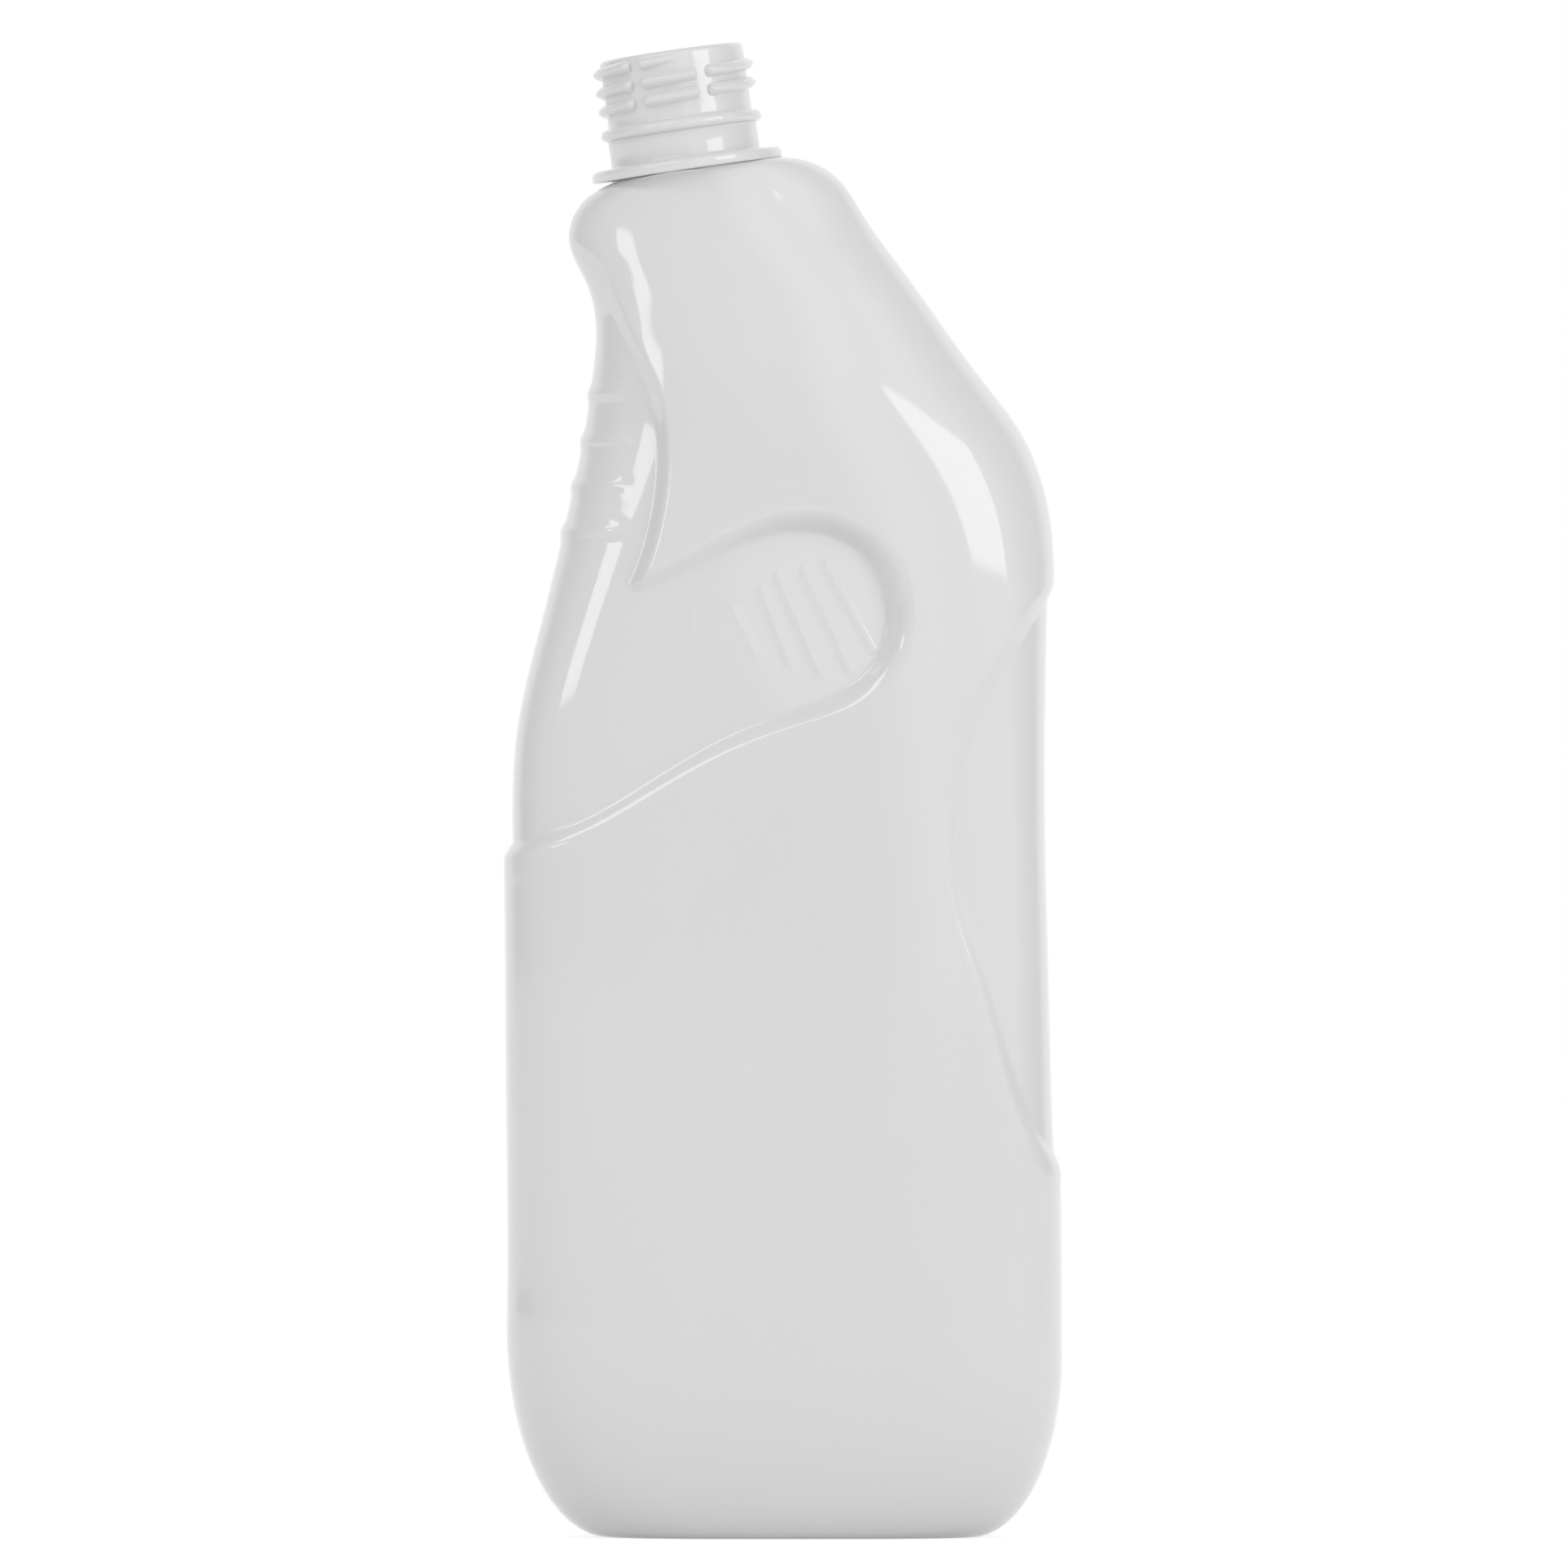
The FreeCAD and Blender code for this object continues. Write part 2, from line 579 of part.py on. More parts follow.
def rib(loft, hand, palm, top, bottom):
    """A low rounded rib along the floor of the thumb recess, which dips under the skin at its ends."""
    radius = (RIB_WIDTH ** 2 / 4 + RIB_HEIGHT ** 2) / (2 * RIB_HEIGHT)
    start = Vector(FRONT + top[0], 0, hand_height(top[1]))
    end = Vector(FRONT + bottom[0], 0, hand_height(bottom[1]))
    points = []
    for share, sunk in ((0.0, radius), (0.12, 0.0), (0.5, 0.0), (0.88, 0.0), (1.0, radius)):
        place = start + (end - start) * share
        level = side_level(loft, hand, palm, place.x, place.z)
        points.append(Vector(place.x, level - radius + RIB_HEIGHT - sunk, place.z))
    path = spline(points, running_lengths(points)).toShape()
    ring = Part.Wire(Part.Circle(points[0], path.tangentAt(path.FirstParameter), radius).toShape())
    return Part.Wire(path).makePipeShell([ring], True, False)


def opened(solid):
    """The solid's faces, parted from the flat one at the lip."""
    lip = neck_point(0, LIP_HEIGHT)
    at_lip = [abs((face.CenterOfMass - lip).dot(NECK_AXIS)) < LIP_ROUND / 4 for face in solid.Faces]
    return [face for face, top in zip(solid.Faces, at_lip) if not top], solid.Faces[at_lip.index(True)]


def bottle():
    loft = Loft()
    hand, palm = hand_zone(), palm_zone()
    frames = skin_frames(loft, hand, palm, row_lengths(loft), column_turns())
    ribs = [rib(loft, hand, palm, top, bottom) for top, bottom in RIBS]
    ribs += [one.mirror(Vector(), Vector(0, 1, 0)) for one in ribs]
    outside, outer_top = opened(blown_solid(loft, frames, 0.0).fuse(neck_finish() + ribs))
    inside, inner_top = opened(blown_solid(loft, frames, WALL).fuse(bore()))
    lip = Part.makeFace([outer_top.OuterWire, inner_top.OuterWire], "Part::FaceMakerBullseye")
    return Part.Solid(Part.Shell(outside + [face.reversed() for face in inside] + [lip]))


os.makedirs("parts", exist_ok=True)
bottle().exportStep("parts/bottle.step")
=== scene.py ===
# %% [markdown]
# # A blown bottle for a trigger sprayer
# The real bottle is one hollow piece of white polyester. A short thick tube with a finished neck is warmed, stretched
# and blown against a steel mould, so the neck is crisp and exact and the body is a thin skin with soft edges.
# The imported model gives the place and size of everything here, and this script builds the looks round it.

# %% Load the fixed frame
import json
import math

import bmesh
import bpy
import numpy as np
from mathutils import Matrix, Vector


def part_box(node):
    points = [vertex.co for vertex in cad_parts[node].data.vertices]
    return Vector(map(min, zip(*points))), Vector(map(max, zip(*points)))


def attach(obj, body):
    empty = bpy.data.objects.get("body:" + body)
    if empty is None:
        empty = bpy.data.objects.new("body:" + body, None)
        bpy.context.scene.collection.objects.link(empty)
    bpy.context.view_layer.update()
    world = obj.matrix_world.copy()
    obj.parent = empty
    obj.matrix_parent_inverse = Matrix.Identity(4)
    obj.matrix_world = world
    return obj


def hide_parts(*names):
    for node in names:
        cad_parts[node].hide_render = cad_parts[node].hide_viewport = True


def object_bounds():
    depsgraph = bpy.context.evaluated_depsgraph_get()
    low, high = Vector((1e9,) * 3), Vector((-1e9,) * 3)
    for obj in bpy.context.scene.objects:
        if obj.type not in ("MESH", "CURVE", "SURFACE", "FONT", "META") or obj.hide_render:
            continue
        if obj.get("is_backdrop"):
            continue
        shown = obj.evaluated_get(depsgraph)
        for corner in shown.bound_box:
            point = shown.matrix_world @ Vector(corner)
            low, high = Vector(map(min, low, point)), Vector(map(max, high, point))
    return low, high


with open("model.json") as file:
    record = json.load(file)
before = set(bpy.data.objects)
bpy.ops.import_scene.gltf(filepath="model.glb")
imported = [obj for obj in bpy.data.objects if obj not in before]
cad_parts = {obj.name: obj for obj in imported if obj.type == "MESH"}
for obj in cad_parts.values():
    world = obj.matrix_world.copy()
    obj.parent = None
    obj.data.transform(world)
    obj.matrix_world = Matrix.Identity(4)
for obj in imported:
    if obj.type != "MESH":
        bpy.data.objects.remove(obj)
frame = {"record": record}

cad_box = [list(corner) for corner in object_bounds()]
low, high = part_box("bottle")
print("bottle from", [round(v, 4) for v in low], "to", [round(v, 4) for v in high])

# %% [markdown]
# ## Sizes
# The sizes are in millimetres, as on the mould maker's drawing, and are turned into metres when a shape is placed.
# They could be read off a mesh, but a named size can be changed and understood. The overall width and depth come
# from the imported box, and the neck's place and lean from the mount at its mouth.

# %% Sizes of the body
MM = 0.001
FRONT, BACK = low.x / MM, high.x / MM
HALF_DEPTH = high.y / MM
WALL = 0.55
# The height of the label panel, and of the hand zone from there up to the support ring
PANEL_HEIGHT, HAND_HEIGHT = 118.0, 118.2
# The heel rounds the panels down to the foot: the height where it starts, and how far it runs inwards
FRONT_HEEL_HEIGHT, BACK_HEEL_HEIGHT = 36.0, 31.0
FRONT_HEEL_RUN, BACK_HEEL_RUN, SIDE_HEEL_RUN = 17.5, 15.5, 9.0
# The foot's corners, the width of the ring that it stands on, and the height of the push-up inside that ring
FOOT_SQUARENESS, STANDING_RING, PUSH_UP = 3.2, 3.0, 7.0

# %% Sizes of the neck, with heights along its leaning axis from the plane of the support ring
mouth = next(m for m in frame["record"]["mounts"] if m["name"] == "mouth")
NECK_AXIS = np.array(mouth["axis"])
NECK_ACROSS = np.array([NECK_AXIS[2], 0, -NECK_AXIS[0]])
BORE_RADIUS = mouth["dims"]["r_mm"]
BORE_MIDDLE = 8.6
NECK_CENTRE = np.array(mouth["pos_m"]) / MM - NECK_AXIS * BORE_MIDDLE
NECK_TILT = math.atan2(-NECK_AXIS[0], NECK_AXIS[2])
NECK_RADIUS, SHANK_RADIUS, ROOT_RADIUS, LIP_HEIGHT = 12.45, 12.9, 13.1, 20.1
SUPPORT_RADIUS, SUPPORT_LOW, SUPPORT_HIGH = 16.5, -0.65, 1.3
BEAD_RADIUS, BEAD_LOW, BEAD_HIGH = 13.95, 6.2, 8.2
# The shoulder ends this far under the ring, and at its two sides it rises towards it over the last few millimetres
SHOULDER_GAP, SIDE_LIFT, SIDE_SOFTNESS, LIFT_REACH = 1.9, 1.06, 0.06, 9.0
print("neck leans", round(math.degrees(NECK_TILT), 2), "degrees and its ring is at", NECK_CENTRE.round(2))


# %% [markdown]
# ## The body's form
# The body is a loft: flat closed sections, wide and rounded like a bar of soap, follow each other from the heel to
# the neck. A batten curve through their front points, one through their back points and one through their depths
# and squareness give every section in between. The form could be pushed into place by hand on a coarse cage, but
# written as a function it lets one rule place any point of it, however fine the mesh is.

# %% A batten curve through rows of numbers
def batten(stops, rows):
    """A smooth curve through the rows, as a thin strip of wood bends through nails."""
    t, y = np.array(stops, float), np.array(rows, float)
    count, gap = len(t), np.diff(t)
    system, right = np.zeros((count, count)), np.zeros_like(y)
    for i in range(1, count - 1):
        system[i, i - 1:i + 2] = gap[i - 1], 2 * (gap[i - 1] + gap[i]), gap[i]
        right[i] = 6 * ((y[i + 1] - y[i]) / gap[i] - (y[i] - y[i - 1]) / gap[i - 1])
    # Each end takes the slope of the curve of third degree through its four nearest nails
    first_slope = np.polyfit(t[:4] - t[0], y[:4], 3)[2]
    last_slope = np.polyfit(t[-4:] - t[-1], y[-4:], 3)[2]
    system[0, :2] = 2 * gap[0], gap[0]
    right[0] = 6 * ((y[1] - y[0]) / gap[0] - first_slope)
    system[-1, -2:] = gap[-1], 2 * gap[-1]
    right[-1] = 6 * (last_slope - (y[-1] - y[-2]) / gap[-1])
    bend = np.linalg.solve(system, right)

    def at(places):
        s = np.asarray(places, float)[..., None]
        i = np.clip(np.searchsorted(t, s[..., 0], side="right") - 1, 0, count - 2)
        step = gap[i][..., None]
        a, b = (t[i + 1][..., None] - s) / step, (s - t[i][..., None]) / step
        return a * y[i] + b * y[i + 1] + ((a ** 3 - a) * bend[i] + (b ** 3 - b) * bend[i + 1]) * step ** 2 / 6

    return at


def running_lengths(points):
    """How far each point lies along the line through them all."""
    return np.concatenate([[0], np.cumsum(np.linalg.norm(np.diff(points, axis=0), axis=1))])


# %% The sections
def hand_height(share):
    """A height in the hand zone: 0 at the panel's top edge on the front line, 1 at the support ring."""
    return PANEL_HEIGHT + share * HAND_HEIGHT


# Front inset and height, back inset and height, side inset, squareness
BODY_SECTIONS = [
    (0.5, FRONT_HEEL_HEIGHT, 0.0, BACK_HEEL_HEIGHT, 0.2, 4.2),
    (0.4, 0.64 * PANEL_HEIGHT, 0.3, 0.64 * PANEL_HEIGHT, 0.0, 4.2),
    (0.0, hand_height(0.0), 0.8, hand_height(0.0), 0.0, 4.2),
    (0.5, hand_height(0.186), 1.1, hand_height(0.186), 0.3, 3.9),
    (4.8, hand_height(0.355), 1.3, hand_height(0.355), 0.7, 3.4),
    (8.4, hand_height(0.482), 2.0, hand_height(0.482), 1.1, 2.9),
    (11.5, hand_height(0.605), 6.9, hand_height(0.609), 1.6, 2.4),
    (13.5, hand_height(0.694), 14.2, hand_height(0.694), 2.9, 2.35),
    (14.6, hand_height(0.749), 19.7, hand_height(0.757), 4.8, 2.5),
    (13.9, hand_height(0.825), 27.2, hand_height(0.846), 7.6, 2.45),
]
# In the neck's own frame: front reach and drop, back reach and drop, half depth, squareness
ROOT_REACH, ROOT_DROP = ROOT_RADIUS + 0.3, 0.15
SHOULDER_SECTIONS = [
    (22.0, 7.3, 28.8, 10.5, 15.0, 2.15),
    (19.0, 1.7, 25.2, 3.4, 13.9, 2.1),
    (15.8, 0.0, 20.5, 0.0, 13.65, 2.05),
    (ROOT_REACH, ROOT_DROP, ROOT_REACH, ROOT_DROP, ROOT_REACH, 2.0),
]


def neck_point(across, along):
    """A point of the middle plane in the neck's own frame, as X and Z."""
    return (NECK_CENTRE + NECK_ACROSS * across + NECK_AXIS * along)[[0, 2]]


fronts = [(FRONT + row[0], row[1]) for row in BODY_SECTIONS]
backs = [(BACK - row[2], row[3]) for row in BODY_SECTIONS]
forms = [(HALF_DEPTH - row[4], row[5]) for row in BODY_SECTIONS]
for front, front_drop, back, back_drop, half_depth, squareness in SHOULDER_SECTIONS:
    fronts.append(neck_point(-front, -SHOULDER_GAP - front_drop))
    backs.append(neck_point(back, -SHOULDER_GAP - back_drop))
    forms.append((half_depth, squareness))
stops = (running_lengths(np.array(fronts)) + running_lengths(np.array(backs))) / 2
LENGTH = stops[-1]
front_line, back_line, form_line = batten(stops, fronts), batten(stops, backs), batten(stops, forms)
print("the skin runs", round(LENGTH, 1), "mm from the heel to the neck's root")


# %% Any section, and any point of it
def sections(along):
    """Front points, back points, half depths and squareness. Negative lengths are angles round the heel."""
    up, turned = np.maximum(along, 0), np.maximum(-along, 0)
    front, back, form = front_line(up), back_line(up), form_line(up)
    tuck, drop = 1 - np.cos(turned), np.sin(turned)
    front[..., 0] += FRONT_HEEL_RUN * tuck
    front[..., 1] -= FRONT_HEEL_HEIGHT * drop
    back[..., 0] -= BACK_HEEL_RUN * tuck
    back[..., 1] -= BACK_HEEL_HEIGHT * drop
    half_depth = form[..., 0] - SIDE_HEEL_RUN * tuck
    return front, back, half_depth, form[..., 1] + (FOOT_SQUARENESS - form[..., 1]) * tuck


def loft_point(turn, along):
    """A point of the plain loft: turn is 0 at the front, half a turn at the back, and negative at -Y."""
    front, back, half_depth, squareness = sections(along)
    c, s = np.cos(turn), np.sin(turn)
    reach = (np.abs(c) ** squareness + np.abs(s) ** squareness) ** (-1 / squareness)
    flat = (front + back) / 2 + (front - back) / 2 * (c * reach)[..., None]
    return np.stack([flat[..., 0], half_depth * s * reach, flat[..., 1]], axis=-1)


SMALL_RISE, SMALL_TURN = 0.01, 0.002


def loft_normal(turn, along):
    """The outward direction, square to two short lines through the place."""
    up = loft_point(turn, along + SMALL_RISE) - loft_point(turn, along - SMALL_RISE)
    sideways = loft_point(turn + SMALL_TURN, along) - loft_point(turn - SMALL_TURN, along)
    outward = np.cross(up, sideways)
    return outward / np.linalg.norm(outward, axis=-1, keepdims=True)


ends = loft_point(np.array([0, math.pi / 2, math.pi]), np.full(3, stops[2]))
print("the panel's top is", round(ends[2, 0] - ends[0, 0], 1), "mm wide and", round(2 * ends[1, 1], 1), "mm deep")


# %% [markdown]
# ## The hand zone
# The mould stands proud where the hand goes: the label panel ends in a step along a rising curve, a thumb recess
# with short ribs is sunk in each side, the finger grip has low ridges across its front, and the palm side has a
# shallow hollow. They could be cut out with Boolean modifiers, but a cut leaves ragged edges on a curved skin. On
# the steel these are offsets of the loft along its own normal, so they are written in the same way here: one
# function gives how deep the skin lies at each place of the broad face.

# %% The borders of the hand zone, as distance from an upright line and share of the zone's height
PANEL_BORDER = [(-12, 0.012), (1.8, 0.0195), (13.0, 0.049), (25.2, 0.107), (40.3, 0.177), (53.4, 0.2180),
                (61.9, 0.258), (66.2, 0.335), (62.6, 0.431), (51.2, 0.467), (38.0, 0.434), (23.1, 0.3765)]
GRIP_BORDER = [(21.2, 0.391), (23.1, 0.432), (25.6, 0.53), (24.5, 0.657), (20.7, 0.734), (14.5, 0.835),
               (2.0, 0.93), (-12, 0.95)]
PALM_BORDER = [(25.0, 0.522), (9.0, 0.425), (-1.7, 0.360), (-7.7, 0.290), (-13.1, 0.2217), (-16.4, 0.1413),
               (-18.0, 0.034), (-17.4, -0.054), (-12.7, -0.181), (-7.5, -0.3266), (-3.7, -0.3993), (-1.3, -0.4255),
               (9.0, -0.470), (25.0, -0.539)]
BORDER_STEPS = {"panel": 120, "grip": 80, "palm": 110}


def border(shape, line, count):
    """Short steps along a smooth border, which is given by its distances behind an upright line."""
    points = np.array([(line + x, hand_height(share)) for x, share in shape])
    lengths = running_lengths(points)
    return batten(lengths, points)(np.linspace(0, lengths[-1], count))


hand_zone = np.concatenate([border(PANEL_BORDER, FRONT, BORDER_STEPS["panel"]),
                            border(GRIP_BORDER, FRONT, BORDER_STEPS["grip"])])
palm_zone = border(PALM_BORDER, BACK, BORDER_STEPS["palm"])
print("the zones' borders are drawn with", len(hand_zone), "and", len(palm_zone), "short steps")


# %% Distances, measured for all points at once
def squared_distance(x, z, start, end):
    """Squared distance from a straight line between two points."""
    (ax, az), (dx, dz) = start, (end[0] - start[0], end[1] - start[1])
    along = np.clip(((x - ax) * dx + (z - az) * dz) / (dx * dx + dz * dz), 0, 1)
    return (x - ax - along * dx) ** 2 + (z - az - along * dz) ** 2


def distance_outside(zone, x, z):
    """Distance from the zone, which is negative inside it."""
    nearest, inside = np.full(x.shape, np.inf), np.zeros(x.shape, bool)
    for (ax, az), (bx, bz) in zip(zone, np.roll(zone, -1, axis=0)):
        nearest = np.minimum(nearest, squared_distance(x, z, (ax, az), (bx, bz)))
        if az != bz:
            inside ^= ((az > z) != (bz > z)) & (x < ax + (z - az) * (bx - ax) / (bz - az))
    return np.where(inside, -1, 1) * np.sqrt(nearest)


def smooth(value):
    """0 up to 0, 1 from 1 on, and a soft rise between."""
    value = np.clip(value, 0, 1)
    return value * value * (3 - 2 * value)


# %% The slope of a step
STEP_WIDTH, STEP_FILLET, STEP_ROUND, STEP_BEND = 2.9, 0.35, 1.3, 1.2


def sloping(distance, width, bend=STEP_BEND, rounding=STEP_ROUND):
    """How much of a step is gone down: 1 inside its border, an even slope with rounded ends, and 0 outside it."""
    off = np.hypot(np.maximum(distance, 0), STEP_FILLET) - STEP_FILLET
    left = width - STEP_FILLET - off
    edge = np.clip(left + rounding / 2, 0, rounding) ** 2 / (2 * rounding)
    return (np.where(left > rounding / 2, left, edge) / (width - STEP_FILLET)) ** bend


print("half a step's width out, the skin is down by", round(float(sloping(STEP_WIDTH / 2, STEP_WIDTH)), 2))

# %% The thumb recess, which deepens towards the back
THUMB_DEPTH, THUMB_WALL, THUMB_BEND = 1.8, 1.8, 1.0
THUMB_EDGE, THUMB_TOP = (31.2, 0.381), 0.48
THUMB_AIM, THUMB_FADE, RAMP_START = math.radians(25.9), 30.0, 0.3


def thumb_share(x, z):
    """0 in front of the thumb recess, then an even slope that starts softly, up to 1 at its deep end."""
    up = np.minimum(z, hand_height(THUMB_TOP)) - hand_height(THUMB_EDGE[1])
    run = (x - FRONT - THUMB_EDGE[0]) * math.cos(THUMB_AIM) + up * math.sin(THUMB_AIM)
    value = np.clip(run / THUMB_FADE, 0, 1)
    bend = np.maximum(RAMP_START - value, 0) ** 2 / (2 * RAMP_START)
    return (value - RAMP_START / 2 + bend) / (1 - RAMP_START / 2)


# %% The ribs in the recess, from top to bottom, and the ridges of the finger grip
RIBS = [((39.7, 0.352), (43.5, 0.287)), ((44.6, 0.379), (49.5, 0.274)), ((47.5, 0.400), (54.7, 0.258)),
        ((51.9, 0.409), (59.9, 0.264)), ((55.8, 0.418), (63.7, 0.296))]
RIB_WIDTH, RIB_HEIGHT, RIB_SPREAD, RIB_FORM = 1.8, 0.23, 1.15, 1.5
FINGER_RIDGES, FINGER_TOP, FINGER_PITCH = 4, 0.672, 7.85
FINGER_HEIGHT, FINGER_WIDTH, FINGER_REACH, FINGER_FADE = 0.5, 2.6, 16.5, 5.5


def rib_distance(x, z):
    """Distance from the nearest rib's middle line."""
    nearest = np.full(x.shape, np.inf)
    for rib in RIBS:
        top, bottom = ((FRONT + across, hand_height(share)) for across, share in rib)
        nearest = np.minimum(nearest, squared_distance(x, z, top, bottom))
    return np.sqrt(nearest)


def finger_ridges(x, z):
    """Height of the ridges, which fade out towards the side face."""
    height = sum(np.exp(-((z - hand_height(FINGER_TOP) + i * FINGER_PITCH) / (FINGER_WIDTH / 2)) ** 2)
                 for i in range(FINGER_RIDGES))
    return FINGER_HEIGHT * height * (1 - smooth((x - FRONT - FINGER_REACH) / FINGER_FADE))


# %% All of it as one depth, and the points of the finished skin
PANEL_STEP, GRIP_STEP = 1.6, 2.2
# How deep the hand zone is sunk, at shares of its height
SINKING = [(0.0, PANEL_STEP), (0.35, GRIP_STEP), (0.60, GRIP_STEP), (0.94, 0.0), (1.0, 0.0)]
PALM_STEP, PALM_WIDTH, PALM_BEND, PALM_ROUND, PALM_DISH = 1.25, 2.5, 1.1, 2.2, 0.05


def hollow(x, z):
    """How far the skin lies inside the plain loft at this place of the broad face."""
    thumb = thumb_share(x, z)
    width, bend = STEP_WIDTH + THUMB_WALL * thumb, STEP_BEND + THUMB_BEND * thumb
    slope = sloping(distance_outside(hand_zone, x, z), width, bend)
    share = (z - PANEL_HEIGHT) / HAND_HEIGHT
    sunk = np.full(x.shape, SINKING[-1][1])
    for (a, first), (b, last) in reversed(list(zip(SINKING, SINKING[1:]))):
        sunk = np.where(share < b, first + (last - first) * smooth((share - a) / (b - a)), sunk)
    rib = np.clip(1 - (rib_distance(x, z) / (RIB_WIDTH / 2 * RIB_SPREAD)) ** 2, 0, 1) ** RIB_FORM
    depth = slope * (sunk + THUMB_DEPTH * thumb - finger_ridges(x, z) - RIB_HEIGHT * rib)
    from_palm = distance_outside(palm_zone, x, z)
    palm = PALM_STEP * sloping(from_palm, PALM_WIDTH, PALM_BEND, PALM_ROUND)
    return depth + palm + PALM_DISH * np.maximum(-from_palm, 0)


def side_lift(turn):
    """The shoulder rises at its two sides, where it all but meets the support ring, and not at the front and back."""
    sideways = np.sin(turn) ** 2
    return SIDE_LIFT * (1 + SIDE_SOFTNESS) * sideways / (sideways + SIDE_SOFTNESS)


def skin_point(turn, along, inset):
    """A point of the finished skin: of its outside, or of its inside with the wall as inset."""
    point = loft_point(turn, along)
    depth = hollow(point[..., 0], point[..., 2]) + inset
    lift = side_lift(turn) * smooth((along - LENGTH + LIFT_REACH) / LIFT_REACH)
    return point - loft_normal(turn, along) * depth[..., None] + NECK_AXIS * lift[..., None]


deep_end = hollow(np.array([FRONT + 60.0]), np.array([hand_height(0.43)]))[0]
print("the thumb recess goes down to", round(float(deep_end), 2), "mm inside the loft")


# %% [markdown]
# ## The neck's outline
# The neck is moulded before the bottle is blown, so it is round, crisp and a little thicker. It could be a stack of
# rings and cylinders, but then their seams would show in the gloss. Its outline is drawn once, beside the axis, as a
# lathe tool would cut it: fillet, support ring, shank, bead, lip and bore. Small arcs round each corner, because a
# moulded edge always catches the light in a thin line.

# %% Arcs, and the sizes of the rounded corners
def arc(centre, radius, first, last, count=4):
    """Points on an arc, with angles in degrees from the outward direction."""
    angles = np.radians(np.linspace(first, last, count))
    return [(centre[0] + radius * math.cos(a), centre[1] + radius * math.sin(a)) for a in angles]


# The fillets where the shoulder meets the root, and where the root meets the ring: the place of each one's centre
ROOT_OUT, ROOT_DOWN, ROOT_FILLET, ROOT_POINTS = 0.2, 0.05, 0.12, 4
UNDER_OUT, UNDER_FILLET = 0.22, 0.14
# The tops of the ring and the bead fall outwards by a hair
RING_LOW_ROUND, RING_TOP_ROUND, RING_FILLET, RING_FALL = 0.3, 0.85, 0.5, 0.1
BEAD_LOW_FILLET, BEAD_ROUND, BEAD_FILLET, BEAD_FALL = 0.22, 0.92, 0.5, 0.05
LIP_ROUND, LIP_INNER_ROUND, THROAT_DROP, THROAT_ROUND = 0.95, 0.35, 0.35, 0.3
SHANK_MIDDLE = 3.9
THREAD_STATIONS, BORE_STATIONS = (10.2, 12.0, 14.0, 16.0, 18.0), (15.0, 10.0, 5.0, 0.0)

# %% The outline from the shoulder over the lip and down the bore
outline = np.array([
    # Root and support ring
    *arc((ROOT_RADIUS + ROOT_OUT, -SHOULDER_GAP - ROOT_DOWN), ROOT_FILLET, 250, 180, ROOT_POINTS),
    *arc((ROOT_RADIUS + UNDER_OUT, SUPPORT_LOW - UNDER_FILLET), UNDER_FILLET, 180, 95),
    *arc((SUPPORT_RADIUS - RING_LOW_ROUND, SUPPORT_LOW + RING_LOW_ROUND), RING_LOW_ROUND, 275, 360),
    *arc((SUPPORT_RADIUS - RING_TOP_ROUND, SUPPORT_HIGH - RING_TOP_ROUND), RING_TOP_ROUND, 0, 86, 6),
    *arc((SHANK_RADIUS + RING_FILLET, SUPPORT_HIGH + RING_FALL + RING_FILLET), RING_FILLET, 266, 180),
    # Shank and bead
    (SHANK_RADIUS, SHANK_MIDDLE),
    *arc((SHANK_RADIUS + BEAD_LOW_FILLET, BEAD_LOW - BEAD_LOW_FILLET), BEAD_LOW_FILLET, 180, 90, 3),
    *arc((BEAD_RADIUS - BEAD_ROUND, BEAD_LOW + BEAD_ROUND), BEAD_ROUND, 270, 360, 5),
    *arc((BEAD_RADIUS - BEAD_ROUND, BEAD_HIGH - BEAD_ROUND), BEAD_ROUND, 0, 85, 5),
    *arc((NECK_RADIUS + BEAD_FILLET, BEAD_HIGH + BEAD_FALL + BEAD_FILLET), BEAD_FILLET, 265, 180),
    # The wall under the thread, the lip, the bore and the throat
    *((NECK_RADIUS, h) for h in THREAD_STATIONS),
    *arc((NECK_RADIUS - LIP_ROUND, LIP_HEIGHT - LIP_ROUND), LIP_ROUND, 0, 90, 6),
    *arc((BORE_RADIUS + LIP_INNER_ROUND, LIP_HEIGHT - LIP_INNER_ROUND), LIP_INNER_ROUND, 90, 180),
    *((BORE_RADIUS, h) for h in BORE_STATIONS),
    *arc((BORE_RADIUS + THROAT_ROUND, -SHOULDER_GAP - THROAT_DROP), THROAT_ROUND, 180, 255, 3),
])
print("the neck's outline has", len(outline), "points")


def neck_place(turn, station):
    """The outline swung round the leaning axis. Its first points rise with the shoulder's sides."""
    steps = np.arange(len(outline))
    r, h = np.interp(station, steps, outline[:, 0]), np.interp(station, steps, outline[:, 1])
    h = h + side_lift(turn) * (station < ROOT_POINTS - 0.5)
    across, side = -r * np.cos(turn), r * np.sin(turn)
    point = NECK_CENTRE + NECK_ACROSS * across[..., None] + NECK_AXIS * h[..., None]
    point[..., 1] += side
    return point


# %% [markdown]
# ## The skin as one sheet
# A blown skin is one sheet of plastic with no joins, so the mesh is one sheet too, where body, neck and foot could
# also be pieces with seams between them. It starts at the gate mark in the middle of the foot, runs over the
# outside, up the neck, over the lip, down the bore and back over the inside.
# A flat grid is laid out first, with its columns running up the bottle and its rows running round. The squares
# that will meet a step, a rib or a ridge are subdivided while the sheet is still flat, which keeps fine squares
# where light shows every wobble and coarse ones on the plain panels. Only then is the sheet wrapped on the form.

# %% Columns, half as close again over the front two thirds, where the steps, ribs and ridges are
def shared_out(weights, count):
    """Places, as fractions of the steps, that share the running total of the weights evenly."""
    total = np.concatenate([[0], np.cumsum(weights)])
    return np.interp(np.linspace(0, total[-1], count), total, np.arange(len(total)))


